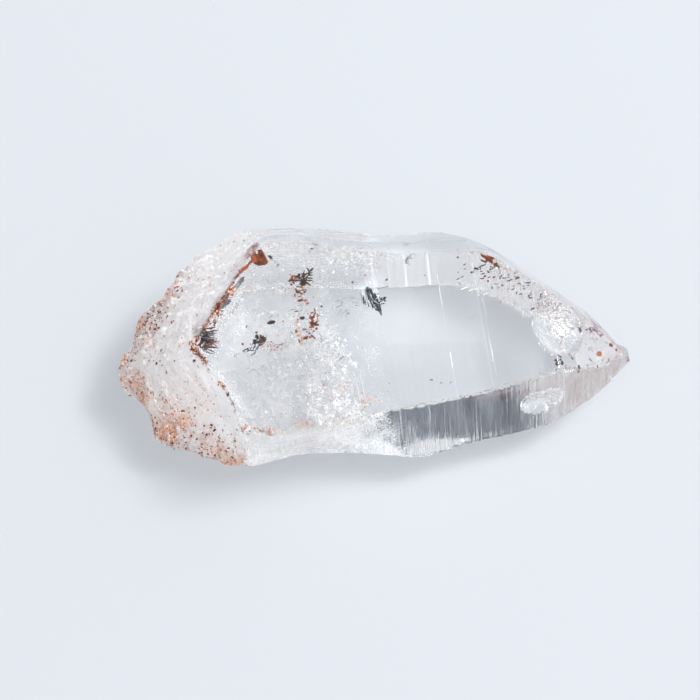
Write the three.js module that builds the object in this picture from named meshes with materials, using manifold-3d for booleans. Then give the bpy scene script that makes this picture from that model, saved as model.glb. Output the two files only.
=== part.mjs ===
import * as THREE from 'three';
import { mergeVertices } from 'three/addons/utils/BufferGeometryUtils.js';
import Module from 'manifold-3d';

// A clear quartz crystal that lies on one of its prism faces, with kyanite blades and rust flakes in it.
// Millimetres. +X runs along the crystal to its tip and +Z is up. The crystal rests on z = 0.
// Its edges are given for an upright crystal, which then leans on its level resting face.

const wasm = await Module();
wasm.setup();

// Driving dimensions of the crystal
const HALF_LENGTH = 24;
const THICKNESS = 12;
const TIP_Z = 6;
const ROOT_Z = 5;
const END_HALF_HEIGHT = 0.15;
const WAIST_PLUS_Z = 6.5;
const WAIST_MINUS_Z = 6;
// The end faces of quartz slope at 38 degrees to its long axis
const TIP_FACE_SLOPE = Math.tan(THREE.MathUtils.degToRad(38.2));
const TIP_FACE_START = HALF_LENGTH - (THICKNESS - TIP_Z - END_HALF_HEIGHT) / TIP_FACE_SLOPE;
const ROOT_FACE_START = -16.6;
const ROOT_TOP_CURVE = 1.15;
const ROOT_BOTTOM_CURVE = 1.3;
const LEAN = THREE.MathUtils.degToRad(10);
const LEAN_SHIFT = 1.04;
const BOTTOM_INSET_PLUS = 2.6;
const BOTTOM_INSET_MINUS = 4.4;
const KEEL_START = -11;
const KEEL_Y = 0.3;
const KEEL_HALF_WIDTH = 0.25;

// Edges of the crystal seen from above, as [x, y] points from the broken root to the tip
const WAIST_PLUS = [
  [-24, 0.9], [-23.7, 1.8], [-22.4, 3.1], [-21.9, 4.7], [-21.2, 5.9], [-19.6, 6.8], [-17.9, 8.5],
  [-15.3, 10.5], [-13.6, 11], [-10.6, 12.3], [-7.5, 12.1], [-1.1, 10.9], [3.3, 9.8], [7.7, 9.4],
  [9.3, 9], [12.3, 7.5], [15.6, 4.5], [19.3, 1], [21.7, -1.6], [24, -5.3],
];
const WAIST_MINUS = [
  [-24, 0.2], [-23.8, -1.4], [-23.4, -2.2], [-22.1, -3.5], [-21.6, -4.8], [-21.3, -7.2], [-20.6, -8],
  [-18.3, -8.9], [-15.8, -10.2], [-12.9, -10.8], [-8.4, -10.4], [-3.4, -10.9], [1.2, -11.9],
  [3.3, -12.3], [7.2, -11.7], [14.9, -11], [18.7, -9.6], [21.9, -7.7], [24, -5.7],
];
const TOP_PLUS = [
  [-24, 0.8], [-16.6, 0.35], [-14.8, 2.3], [-12.8, 4.4], [-9.4, 8.4], [-7.7, 8.8], [-1, 7.1], [4.5, 5.9],
  [9.4, 5.4], [11.4, 4.9], [14.8, 2.3], [16.7, 0.6], [19.6, -1.4], [24, -5.4],
];
const TOP_MINUS = [
  [-24, 0.4], [-16.6, -0.15], [-14.8, -3.3], [-13.5, -5.9], [-12.9, -8.8], [-8.7, -9.4], [-4.8, -9.4],
  [-0.1, -8.8], [9.2, -8.3], [17.7, -7.2], [20.8, -6.9], [22.4, -6.1], [24, -5.6],
];

// Growth ledges cross the prism faces at these places along the crystal
const LEDGE_X = [-9.5, -6.2, -2, 1.4, 4.6, 6.8, 10.4, 14.2];
const LEDGE_UNEVENNESS = [0, 0.9, 0.4, 0.8, 0.5, 0.6, 0.4, 0.7];
const LEDGE_DEPTH = 0.25;
const LEDGE_WIDTH = 0.08;
const LEDGE_CLEARANCE = 0.32;
// Share of a ledge on each face, from the upper +Y face round to the top. The face that it rests on has none.
const LEDGE_SHARE = [0.3, 0.25, 0, 0.4, 0.2, 0.12];
// The deepest that ledges and lumps may cut, as a share of the way to the middle
const DEEPEST_CUT = 0.33;

// Lumps of the broken root. Each wave has its turns per millimetre in x, y and z, and its phase, in radians.
const LUMP_WAVES = [[1.9, 1.3, 0, 0], [0, 1.7, -1.1, 0.8], [2.3, -0.7, 3.1, 0]];
const LUMP_MIX = { level: 0.5, product: 0.32, single: 0.18 };
const LUMP_DEPTH = 0.75;
const LUMP_FADE = [-13, -18];
const LUMP_WAIST = { share: 0.8, reach: 1.3 };

// Chips broken out of the surface, each an ellipsoid with its middle and half sizes
const CHIPS = [
  { at: [19, -3, 13.4], half: [4.5, 3.85, 3.8] },
  { at: [15.1, -9.6, 9.25], half: [2.4, 1.3, 1.6] },
  { at: [7.7, -12.2, 7.1], half: [2.3, 1.1, 0.95] },
  { at: [-1, 7.9, 13], half: [2, 1.1, 1.7] },
  { at: [9.5, -8.7, 12.4], half: [0.9, 0.8, 0.8] },
  { at: [-2.6, -11.3, 10], half: [3.4, 1.9, 3.6] },
  { at: [-18.6, 4.6, 11.6], half: [2.2, 2.6, 2.3] },
  { at: [-19.4, -6.6, 9.8], half: [2, 2.4, 2] },
  { at: [-22.6, 0.6, 9], half: [1.5, 2.2, 1.6] },
  { at: [-17.6, -10.6, 5], half: [2.2, 1.4, 2.4] },
];

// The clear solid is parted in two along a gently raised sheet, so that its inclusions can lie in it
const PARTING_GAP = 0.3;
const PARTING_BUMP = { height: 3, at: -13, spread: 6.5 };
const PARTING_SLOPE = -0.02;
const PARTING_STEP = 2;
const POCKET_CLEARANCE = 0.3;
const WORKING_BOX = 60;

const STATION_STEPS = [[-24, 0.8], [-12, 1.8], [15.2, 0.55], [24, 0]];
const SIDE_SAMPLES = 6;
const WELD = 1e-4;
const GOLDEN_ANGLE = Math.PI * (3 - Math.sqrt(5));
const UP = new THREE.Vector3(0, 0, 1);
const CHIP_SEGMENTS = [12, 8];
const BEAD_SEGMENTS = [7, 5];

// How the pieces of an inclusion differ from one to the next: shares of their size, and turns in radians
const FLAKE = { sides: 7, size: 0.85, swing: 0.2, wave: 2.3 };
const ROSETTE = { size: 0.8, swing: 0.2, wave: 3, flatness: 0.7, roll: 0.4, tiltWave: 2 };
const SHEAF = { taper: 0.12, spacing: 0.55, rise: 0.3, roll: 0.25, pitch: 0.1 };
const PILE = { rise: 0.4, roll: [0.35, 0.05], pitch: 0.2, yaw: 1.3 };
const BEAD = { size: 0.85, swing: 0.15, wave: 3 };
const RUST_PLATE = { radius: 0.95, thickness: 0.4, seed: 2, turn: [0.4, 0.2, 0.3] };
const RUST_TAIL = { length: 2.6, width: 0.4, thickness: 0.3, turn: [0.2, 0, 0.5], at: [-1.1, -0.5, 0] };
const WEDGE_OUTLINE = [[-0.9, 0.75], [-0.25, -0.1], [0.75, -0.7], [0.9, 0], [0, 0.5]];
const WEDGE = { outline: WEDGE_OUTLINE, thickness: 0.45, turn: [0.3, 0.1, 0] };
const LENS = { half: [0.65, 0.42, 0.25], turn: [0.3, 0, -0.6] };
const LATH = { length: 2, width: 0.5, thickness: 0.3, turn: [0.3, 0.1, 0.78] };
const ORANGE_FLAKE = { radius: 0.5, thickness: 0.25, seed: 4, turn: [0.3, 0.2, 0] };

const QUARTZ = new THREE.MeshStandardMaterial({ color: 0xeef3f8, roughness: 0.08, metalness: 0 });
const KYANITE = new THREE.MeshStandardMaterial({ color: 0x26303f, roughness: 0.35, metalness: 0 });
const IRON = new THREE.MeshStandardMaterial({ color: 0x33251f, roughness: 0.5, metalness: 0.2 });
const RUST = new THREE.MeshStandardMaterial({ color: 0xa6491f, roughness: 0.55, metalness: 0 });
const MICA = new THREE.MeshStandardMaterial({ color: 0x9a928b, roughness: 0.4, metalness: 0 });
const PURPLE = new THREE.MeshStandardMaterial({ color: 0x6a5470, roughness: 0.3, metalness: 0 });

// Eases from 0 at from to 1 at to, which may lie on either side of it
function ease(x, from, to) {
  const share = THREE.MathUtils.clamp((x - from) / (to - from), 0, 1);
  return share * share * (3 - 2 * share);
}

// Tangents that keep a curve through the points free of overshoot
function tangents(points) {
  const slopes = points.slice(1).map(([x, y], i) => (y - points[i][1]) / (x - points[i][0]));
  return points.map((_, i) => {
    const before = slopes[Math.max(i - 1, 0)];
    const after = slopes[Math.min(i, slopes.length - 1)];
    return before * after <= 0 ? 0 : (2 * before * after) / (before + after);
  });
}

function curveThrough(points) {
  const slope = tangents(points);
  return (x) => {
    const last = points.length - 2;
    const next = points.findIndex(([px]) => px > x);
    const i = next < 0 ? last : THREE.MathUtils.clamp(next - 1, 0, last);
    const [x0, y0] = points[i];
    const [x1, y1] = points[i + 1];
    const width = x1 - x0;
    const t = (x - x0) / width;
    const start = (1 + 2 * t) * (1 - t) ** 2 * y0 + t * (1 - t) ** 2 * width * slope[i];
    const end = t * t * (3 - 2 * t) * y1 + t * t * (t - 1) * width * slope[i + 1];
    return start + end;
  };
}

const waistPlus = curveThrough(WAIST_PLUS);
const waistMinus = curveThrough(WAIST_MINUS);
const topPlus = curveThrough(TOP_PLUS);
const topMinus = curveThrough(TOP_MINUS);

// Height of the level top face, with the sloping end faces on both sides of it
function topHeight(x) {
  const tipDrop = Math.max(0, x - TIP_FACE_START) * TIP_FACE_SLOPE;
  const rootShare = Math.max(0, ROOT_FACE_START - x) / (ROOT_FACE_START + HALF_LENGTH);
  return THICKNESS - tipDrop - (THICKNESS - ROOT_Z - END_HALF_HEIGHT) * rootShare ** ROOT_TOP_CURVE;
}

function bottomHeight(x) {
  const tipRise = Math.max(0, x - TIP_FACE_START) * TIP_FACE_SLOPE;
  const rootShare = Math.max(0, ROOT_FACE_START - x) / (ROOT_FACE_START + HALF_LENGTH);
  return tipRise + (ROOT_Z - END_HALF_HEIGHT) * rootShare ** ROOT_BOTTOM_CURVE;
}

function waistHeight(x, middle) {
  const towardsTip = (TIP_Z - middle) * ease(x, TIP_FACE_START, HALF_LENGTH);
  return middle + towardsTip + (ROOT_Z - middle) * ease(x, ROOT_FACE_START, -HALF_LENGTH);
}

// Where a point of the upright section lies once the crystal leans towards -Y
function leaned([y, z]) {
  const cos = Math.cos(LEAN);
  const sin = Math.sin(LEAN);
  return [y * cos - z * sin + LEAN_SHIFT, y * sin + z * cos];
}

// The six corners of the section at x, as [y, z], in order from the top edge on the +Y side
function corners(x) {
  const top = topHeight(x);
  const bottom = bottomHeight(x);
  const sidePlus = leaned([waistPlus(x), waistHeight(x, WAIST_PLUS_Z)]);
  const sideMinus = leaned([waistMinus(x), waistHeight(x, WAIST_MINUS_Z)]);
  const keel = ease(x, KEEL_START, ROOT_FACE_START);
  const bottomPlus = sidePlus[0] - BOTTOM_INSET_PLUS * (sidePlus[1] - bottom) / WAIST_PLUS_Z;
  const bottomMinus = sideMinus[0] + BOTTOM_INSET_MINUS * (sideMinus[1] - bottom) / WAIST_MINUS_Z;
  return [
    leaned([topPlus(x), top]),
    sidePlus,
    [THREE.MathUtils.lerp(bottomPlus, KEEL_Y + KEEL_HALF_WIDTH, keel), bottom],
    [THREE.MathUtils.lerp(bottomMinus, KEEL_Y - KEEL_HALF_WIDTH, keel), bottom],
    sideMinus,
    leaned([topMinus(x), top]),
  ];
}

// A ledge grows from one place in LEDGE_X to the next and drops back there
function ledge(x, side, atCorner) {
  const next = LEDGE_X.findIndex((place) => x < place);
  if (next < 1) return 0;
  const growth = (x - LEDGE_X[next - 1]) / (LEDGE_X[next] - LEDGE_X[next - 1]);
  const before = LEDGE_SHARE[(side + LEDGE_SHARE.length - 1) % LEDGE_SHARE.length];
  const share = atCorner ? Math.min(before, LEDGE_SHARE[side]) : LEDGE_SHARE[side];
  return LEDGE_DEPTH * growth * share * LEDGE_UNEVENNESS[next];
}

// Rounded lumps of the broken root, strongest at the far end and slight where its outline is widest
function rootLump(x, y, z) {
  const wave = ([kx, ky, kz, phase]) => Math.sin(kx * x + ky * y + kz * z + phase);
  const [first, second, third] = LUMP_WAVES.map(wave);
  const height = LUMP_MIX.level + LUMP_MIX.product * first * second + LUMP_MIX.single * third;
  const fromWaist = (z - waistHeight(x, TIP_Z)) / LUMP_WAIST.reach;
  const keep = 1 - LUMP_WAIST.share * Math.exp(-fromWaist * fromWaist);
  return LUMP_DEPTH * keep * ease(x, ...LUMP_FADE) * height;
}

function section(x) {
  const outline = corners(x);
  const middleY = outline.reduce((sum, [y]) => sum + y, 0) / outline.length;
  const middleZ = outline.reduce((sum, [, z]) => sum + z, 0) / outline.length;
  const points = [];
  outline.forEach(([y0, z0], side) => {
    const [y1, z1] = outline[(side + 1) % outline.length];
    for (let k = 0; k < SIDE_SAMPLES; k += 1) {
      const share = k / SIDE_SAMPLES;
      const y = THREE.MathUtils.lerp(y0, y1, share);
      const z = THREE.MathUtils.lerp(z0, z1, share);
      const reach = Math.hypot(y - middleY, z - middleZ);
      const inset = Math.min(ledge(x, side, k === 0) + rootLump(x, y, z), reach * DEEPEST_CUT);
      const keep = 1 - inset / reach;
      points.push([x, middleY + (y - middleY) * keep, middleZ + (z - middleZ) * keep]);
    }
  });
  return { points, middle: [x, middleY, middleZ] };
}

function stations() {
  const places = [];
  STATION_STEPS.slice(1).forEach(([end], i) => {
    const [start, step] = STATION_STEPS[i];
    const count = Math.round((end - start) / step);
    for (let k = 0; k < count; k += 1) places.push(start + (end - start) * k / count);
  });
  places.push(HALF_LENGTH);
  const clear = places.filter((x) => LEDGE_X.every((edge) => Math.abs(x - edge) > LEDGE_CLEARANCE));
  const steps = LEDGE_X.flatMap((edge) => [edge - LEDGE_WIDTH / 2, edge + LEDGE_WIDTH / 2]);
  return [...clear, ...steps].sort((a, b) => a - b);
}

function crystalGeometry() {
  const sections = stations().map(section);
  const around = sections[0].points.length;
  const first = sections[0];
  const last = sections[sections.length - 1];
  const positions = [...sections.flatMap(({ points }) => points), first.middle, last.middle].flat();
  const firstMiddle = sections.length * around;
  const lastRing = (sections.length - 1) * around;
  const index = [];
  for (let k = 0; k < around; k += 1) {
    const next = (k + 1) % around;
    for (let ring = 0; ring < lastRing; ring += around) {
      index.push(ring + k, ring + around + k, ring + next);
      index.push(ring + next, ring + around + k, ring + around + next);
    }
    index.push(firstMiddle, k, next);
    index.push(firstMiddle + 1, lastRing + next, lastRing + k);
  }
  const geometry = new THREE.BufferGeometry();
  geometry.setAttribute('position', new THREE.Float32BufferAttribute(positions, 3));
  geometry.setIndex(index);
  return geometry;
}

// A solid for cutting and joining, from any closed geometry
function solid(geometry) {
  const bare = geometry.clone();
  bare.deleteAttribute('normal');
  bare.deleteAttribute('uv');
  const welded = mergeVertices(bare, WELD);
  const vertProperties = Float32Array.from(welded.getAttribute('position').array);
  const triVerts = Uint32Array.from(welded.getIndex().array);
  return new wasm.Manifold(new wasm.Mesh({ numProp: 3, vertProperties, triVerts }));
}

function geometryOf(manifold) {
  const { vertProperties, triVerts } = manifold.getMesh();
  const geometry = new THREE.BufferGeometry();
  geometry.setAttribute('position', new THREE.BufferAttribute(vertProperties, 3));
  geometry.setIndex(new THREE.BufferAttribute(triVerts, 1));
  geometry.computeVertexNormals();
  return geometry;
}

function join(geometries) {
  return geometries.map(solid).reduce((whole, piece) => whole.add(piece));
}

function partingHeight(x) {
  const away = (x - PARTING_BUMP.at) / PARTING_BUMP.spread;
  return TIP_Z + PARTING_SLOPE * x + PARTING_BUMP.height * Math.exp(-away * away);
}

// Leans a geometry of the upright crystal as the crystal leans
function leanOver(geometry) {
  geometry.rotateX(LEAN);
  geometry.translate(0, LEAN_SHIFT, 0);
  return geometry;
}

// Everything on one side of the parting sheet: direction 1 is above it and -1 below
function partingSide(direction) {
  const shape = new THREE.Shape();
  const reach = HALF_LENGTH + PARTING_STEP;
  shape.moveTo(-reach, direction * WORKING_BOX);
  for (let x = -reach; x <= reach; x += PARTING_STEP) {
    shape.lineTo(x, partingHeight(x) + direction * PARTING_GAP / 2);
  }
  shape.lineTo(reach, direction * WORKING_BOX);
  const geometry = new THREE.ExtrudeGeometry(shape, { depth: WORKING_BOX, bevelEnabled: false });
  geometry.rotateX(Math.PI / 2);
  geometry.translate(0, WORKING_BOX / 2, 0);
  return solid(leanOver(geometry));
}

function chip({ at: [x, y, z], half }) {
  const geometry = new THREE.SphereGeometry(1, ...CHIP_SEGMENTS);
  geometry.scale(...half);
  geometry.translate(x, ...leaned([y, z]));
  return geometry;
}

function extrudeFlat(points, thickness) {
  const shape = new THREE.Shape(points.map(([x, y]) => new THREE.Vector2(x, y)));
  const geometry = new THREE.ExtrudeGeometry(shape, { depth: thickness, bevelEnabled: false });
  geometry.translate(0, 0, -thickness / 2);
  return geometry;
}

// A long flat crystal with pointed ends
function blade({ length, width, thickness }) {
  const end = length / 2;
  const shoulder = end - width / 2;
  const edge = width / 2;
  const lower = [[-end, 0], [-shoulder, -edge], [shoulder, -edge]];
  const outline = [...lower, ...lower.map(([x, y]) => [-x, -y])];
  return extrudeFlat(outline, thickness);
}

// A thin plate with an uneven outline
function flake({ radius, thickness, seed }) {
  const outline = Array.from({ length: FLAKE.sides }, (_, k) => {
    const angle = (2 * Math.PI * k) / FLAKE.sides;
    const reach = radius * (FLAKE.size + FLAKE.swing * Math.sin(FLAKE.wave * k + seed));
    return [reach * Math.cos(angle), reach * Math.sin(angle)];
  });
  return extrudeFlat(outline, thickness);
}

function turned(geometry, [rx, ry, rz], [dx, dy, dz] = [0, 0, 0]) {
  geometry.rotateX(rx);
  geometry.rotateY(ry);
  geometry.rotateZ(rz);
  geometry.translate(dx, dy, dz);
  return geometry;
}

// Blades that cross at one point, each turned on from the last by the golden angle
function rosette({ count, length, width, tilt }) {
  return Array.from({ length: count }, (_, k) => {
    const own = length * (ROSETTE.size + ROSETTE.swing * Math.sin(ROSETTE.wave * k));
    const piece = blade({ length: own, width, thickness: width * ROSETTE.flatness });
    return turned(piece, [ROSETTE.roll * k, tilt * Math.sin(ROSETTE.tiltWave * k), GOLDEN_ANGLE * k]);
  });
}

// Blades side by side, fanned out a little from their middle
function sheaf({ count, length, width, thickness, yaw, spread }) {
  return Array.from({ length: count }, (_, k) => {
    const away = k - (count - 1) / 2;
    const own = length * (1 - SHEAF.taper * Math.abs(away));
    const shift = new THREE.Vector3(0, away * width * SHEAF.spacing, away * thickness * SHEAF.rise);
    const turn = [SHEAF.roll * away, SHEAF.pitch, yaw + spread * away];
    return turned(blade({ length: own, width, thickness }), turn, shift.applyAxisAngle(UP, yaw).toArray());
  });
}

function flakePile({ radii, thickness, step, yaw }) {
  return radii.map((radius, seed) => {
    const odd = seed % 2;
    const shift = [step * seed * Math.cos(yaw), step * seed * Math.sin(yaw), thickness * PILE.rise * odd];
    return turned(flake({ radius, thickness, seed }), [PILE.roll[odd], PILE.pitch, PILE.yaw * seed], shift);
  });
}

// Beads in a row that rises by the angle rise and bends by the angle bend at each bead
function beadChain({ count, radius, step, rise, bend }) {
  const at = new THREE.Vector3();
  return Array.from({ length: count }, (_, k) => {
    const own = radius * (BEAD.size + BEAD.swing * Math.cos(BEAD.wave * k));
    const bead = new THREE.SphereGeometry(own, ...BEAD_SEGMENTS);
    bead.translate(...at.toArray());
    at.x += step * Math.cos(rise + bend * k);
    at.y += step * Math.sin(rise + bend * k);
    return bead;
  });
}

function rustPlate() {
  const tail = turned(blade(RUST_TAIL), RUST_TAIL.turn, RUST_TAIL.at);
  return [turned(flake(RUST_PLATE), RUST_PLATE.turn), tail];
}

function redWedge() {
  return [turned(extrudeFlat(WEDGE.outline, WEDGE.thickness), WEDGE.turn)];
}

function lens() {
  const geometry = new THREE.SphereGeometry(1, ...BEAD_SEGMENTS);
  geometry.scale(...LENS.half);
  return [turned(geometry, LENS.turn)];
}

// What lies in the quartz: its name, its material, its place seen from above on the parting sheet, its pieces
const INCLUSIONS = [
  {
    name: 'kyanite_blade_cluster', material: KYANITE, at: [0.6, 3],
    pieces: sheaf({ count: 4, length: 2.6, width: 0.5, thickness: 0.3, yaw: -1.03, spread: 0.16 }),
  },
  {
    name: 'kyanite_needles', material: KYANITE, at: [-11.3, -0.8],
    pieces: rosette({ count: 3, length: 1.3, width: 0.2, tilt: 0.3 }),
  },
  {
    name: 'dark_rosette', material: IRON, at: [-5.4, 5.8],
    pieces: rosette({ count: 5, length: 2.1, width: 0.34, tilt: 0.5 }),
  },
  {
    name: 'dark_sheaf', material: IRON, at: [-15.3, 1.35],
    pieces: rosette({ count: 7, length: 2, width: 0.24, tilt: 0.45 }),
  },
  { name: 'rust_plate', material: RUST, at: [-9.4, 8.1], pieces: rustPlate() },
  { name: 'grey_lath', material: MICA, at: [-11.5, 5.8], pieces: [turned(blade(LATH), LATH.turn)] },
  {
    name: 'grey_plate_stack', material: MICA, at: [-13.2, 4],
    pieces: flakePile({ radii: [0.6, 0.45, 0.5], thickness: 0.3, step: 0.55, yaw: 0.7 }),
  },
  {
    name: 'mixed_flake_cluster', material: IRON, at: [-10.3, 0.4],
    pieces: flakePile({ radii: [0.5, 0.4, 0.45], thickness: 0.25, step: 0.5, yaw: 2.4 }),
  },
  {
    name: 'rust_flake_group', material: RUST, at: [-5.3, 1.2],
    pieces: flakePile({ radii: [0.5, 0.55, 0.4], thickness: 0.25, step: 0.6, yaw: -1.9 }),
  },
  {
    name: 'grey_spray', material: MICA, at: [4.7, 6.4],
    pieces: rosette({ count: 5, length: 0.9, width: 0.14, tilt: 0.4 }),
  },
  { name: 'red_wedge', material: RUST, at: [12.5, 5], pieces: redWedge() },
  {
    name: 'dark_bead_chain', material: IRON, at: [10.5, 4.4],
    pieces: beadChain({ count: 7, radius: 0.22, step: 0.28, rise: 0.5, bend: 0.05 }),
  },
  { name: 'purple_lens', material: PURPLE, at: [20.3, -2.7], pieces: lens() },
  {
    name: 'orange_flake', material: RUST, at: [20.5, -5],
    pieces: [turned(flake(ORANGE_FLAKE), ORANGE_FLAKE.turn)],
  },
];

// A box around an inclusion, for its pocket
function pocket(geometry) {
  const size = new THREE.Vector3();
  const middle = new THREE.Vector3();
  geometry.computeBoundingBox();
  geometry.boundingBox.getSize(size);
  geometry.boundingBox.getCenter(middle);
  size.addScalar(2 * POCKET_CLEARANCE);
  const box = new THREE.BoxGeometry(...size.toArray());
  box.translate(...middle.toArray());
  return box;
}

function placedInclusions() {
  return INCLUSIONS.map(({ name, material, at: [x, y], pieces }) => {
    const mesh = new THREE.Mesh(geometryOf(join(pieces)), material);
    leanOver(mesh.geometry.translate(x, y, partingHeight(x)));
    mesh.name = name;
    return mesh;
  });
}

const crystal = new THREE.Group();
const inclusions = placedInclusions();
const pockets = join(inclusions.map((mesh) => pocket(mesh.geometry)));
const whole = solid(crystalGeometry()).subtract(join(CHIPS.map(chip)));

for (const [name, direction] of [['quartz_upper_half', 1], ['quartz_lower_half', -1]]) {
  const half = whole.intersect(partingSide(direction)).subtract(pockets);
  const mesh = new THREE.Mesh(geometryOf(half), QUARTZ);
  mesh.name = name;
  crystal.add(mesh);
}
crystal.add(...inclusions);

export default crystal;
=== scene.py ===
import math

import bmesh
import bpy
import numpy as np
from mathutils import Euler, Matrix


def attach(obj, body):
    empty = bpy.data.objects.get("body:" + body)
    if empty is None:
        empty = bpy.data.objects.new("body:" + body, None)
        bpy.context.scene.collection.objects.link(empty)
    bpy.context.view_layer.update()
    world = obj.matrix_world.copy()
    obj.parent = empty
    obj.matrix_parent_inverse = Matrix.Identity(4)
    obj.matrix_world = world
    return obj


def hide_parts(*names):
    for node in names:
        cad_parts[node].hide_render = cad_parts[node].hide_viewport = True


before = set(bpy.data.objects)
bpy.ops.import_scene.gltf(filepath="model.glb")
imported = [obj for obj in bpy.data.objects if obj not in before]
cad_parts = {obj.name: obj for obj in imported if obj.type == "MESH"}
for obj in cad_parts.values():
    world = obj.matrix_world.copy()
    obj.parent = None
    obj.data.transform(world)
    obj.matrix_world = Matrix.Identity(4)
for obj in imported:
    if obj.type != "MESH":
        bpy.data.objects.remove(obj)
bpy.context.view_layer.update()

MM = 0.001

# Driving dimensions of the crystal, in millimetres, the same as in its solid
HALF_LENGTH = 24
THICKNESS = 12
TIP_Z = 6
ROOT_Z = 5
END_HALF_HEIGHT = 0.15
WAIST_PLUS_Z = 6.5
WAIST_MINUS_Z = 6
TIP_FACE_SLOPE = math.tan(math.radians(38.2))
TIP_FACE_START = HALF_LENGTH - (THICKNESS - TIP_Z - END_HALF_HEIGHT) / TIP_FACE_SLOPE
ROOT_FACE_START = -16.6
ROOT_TOP_CURVE = 1.15
ROOT_BOTTOM_CURVE = 1.3
BOTTOM_INSET_PLUS = 2.6
BOTTOM_INSET_MINUS = 4.4
KEEL_START = -11
KEEL_Y = 0.3
KEEL_HALF_WIDTH = 0.25
LEAN = math.radians(10)
LEAN_SHIFT = 1.04

# Edges of the crystal seen from above, as (x, y) points from the broken root to the tip
WAIST_PLUS = (
    (-24, 0.9), (-23.7, 1.8), (-22.4, 3.1), (-21.9, 4.7), (-21.2, 5.9), (-19.6, 6.8), (-17.9, 8.5),
    (-15.3, 10.5), (-13.6, 11), (-10.6, 12.3), (-7.5, 12.1), (-1.1, 10.9), (3.3, 9.8), (7.7, 9.4),
    (9.3, 9), (12.3, 7.5), (15.6, 4.5), (19.3, 1), (21.7, -1.6), (24, -5.3),
)
WAIST_MINUS = (
    (-24, 0.2), (-23.8, -1.4), (-23.4, -2.2), (-22.1, -3.5), (-21.6, -4.8), (-21.3, -7.2), (-20.6, -8),
    (-18.3, -8.9), (-15.8, -10.2), (-12.9, -10.8), (-8.4, -10.4), (-3.4, -10.9), (1.2, -11.9),
    (3.3, -12.3), (7.2, -11.7), (14.9, -11), (18.7, -9.6), (21.9, -7.7), (24, -5.7),
)
TOP_PLUS = (
    (-24, 0.8), (-16.6, 0.35), (-14.8, 2.3), (-12.8, 4.4), (-9.4, 8.4), (-7.7, 8.8), (-1, 7.1), (4.5, 5.9),
    (9.4, 5.4), (11.4, 4.9), (14.8, 2.3), (16.7, 0.6), (19.6, -1.4), (24, -5.4),
)
TOP_MINUS = (
    (-24, 0.4), (-16.6, -0.15), (-14.8, -3.3), (-13.5, -5.9), (-12.9, -8.8), (-8.7, -9.4), (-4.8, -9.4),
    (-0.1, -8.8), (9.2, -8.3), (17.7, -7.2), (20.8, -6.9), (22.4, -6.1), (24, -5.6),
)

# Growth ledges cross the prism faces at these places along the crystal
LEDGE_X = (-9.5, -6.2, -2, 1.4, 4.6, 6.8, 10.4, 14.2)
LEDGE_UNEVENNESS = (0, 0.9, 0.4, 0.8, 0.5, 0.6, 0.4, 0.7)
LEDGE_DEPTH = 0.25
LEDGE_SHARE = (0.3, 0.25, 0, 0.4, 0.2, 0.12)

# Lumps of the broken root, as waves with their turns per millimetre in x, y and z, and their phase
LUMP_WAVES = ((1.9, 1.3, 0, 0), (0, 1.7, -1.1, 0.8), (2.3, -0.7, 3.1, 0))
LUMP_LEVEL, LUMP_PRODUCT, LUMP_SINGLE = 0.5, 0.32, 0.18
LUMP_DEPTH = 0.75
LUMP_FADE = (-13, -18)
LUMP_WAIST_SHARE, LUMP_WAIST_REACH = 0.8, 1.3

# Chips broken out of the surface, each an ellipsoid with its middle and half sizes
CHIPS = (
    ((19, -3, 13.4), (4.5, 3.85, 3.8)),
    ((15.1, -9.6, 9.25), (2.4, 1.3, 1.6)),
    ((7.7, -12.2, 7.1), (2.3, 1.1, 0.95)),
    ((-1, 7.9, 13), (2, 1.1, 1.7)),
    ((9.5, -8.7, 12.4), (0.9, 0.8, 0.8)),
    ((-2.6, -11.3, 10), (3.4, 1.9, 3.6)),
    ((-18.6, 4.6, 11.6), (2.2, 2.6, 2.3)),
    ((-19.4, -6.6, 9.8), (2, 2.4, 2)),
    ((-22.6, 0.6, 9), (1.5, 2.2, 1.6)),
    ((-17.6, -10.6, 5), (2.2, 1.4, 2.4)),
)

# Stations along the crystal, as (from, step), and points along each side of a section
STATION_STEPS = ((-24, 0.125), (-5, 0.096), (20, 0.09), (24, 0))
SIDE_SAMPLES = (36, 34, 34, 34, 36, 40)
CORNER_CLUSTER = 0.6
# The faces and the edges of a section, in order from the top edge on the +Y side
UPPER_PLUS, LOWER_PLUS, BOTTOM_SIDE, LOWER_MINUS, UPPER_MINUS, TOP_SIDE = range(6)
EDGES = ("top_plus", "waist_plus", "bottom_plus", "bottom_minus", "waist_minus", "top_minus")

# Striations across each face: how deep, in millimetres, from the upper +Y face round to the top
STRIATION_DEPTH = (0.004, 0.006, 0.0008, 0.006, 0.04, 0.0007)
# Still finer striae, only in the shading of each face
STRIA_SHADING = (0.02, 0.03, 0.003, 0.012, 0.16, 0.0025)
# Worn edges, from the top edge on the +Y side round: how far each is worn back
EDGE_WEAR = (0.05, 0.06, 0.04, 0.04, 0.07, 0.13)
EDGE_REACH = 0.16
# The lower edges are rounded off in the left half
LOWER_ROUNDING, LOWER_REACH, LOWER_FADE = 0.8, 2.4, (2.5, -1)
# Bright shallow grooves across the top, as (place along the crystal, half width, depth); the deeper ones also
# hold a painted highlight
GROOVES = (
    (6.9, 0.13, 0.036), (10.3, 0.12, 0.036), (10.75, 0.14, 0.044), (3.2, 0.12, 0.01), (8.7, 0.12, 0.01),
    (12.3, 0.12, 0.014), (13.3, 0.12, 0.01), (1.2, 0.12, 0.012), (-7.4, 0.12, 0.02), (5.1, 0.1, 0.01),
    (0.1, 0.12, 0.02), (-0.4, 0.12, 0.02), (14.4, 0.1, 0.01), (9.5, 0.1, 0.008),
)
# Only grooves deeper than this hold a white thread, which is a painted highlight
THREADED = 0.03
GROOVE_SEED = 9
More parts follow.
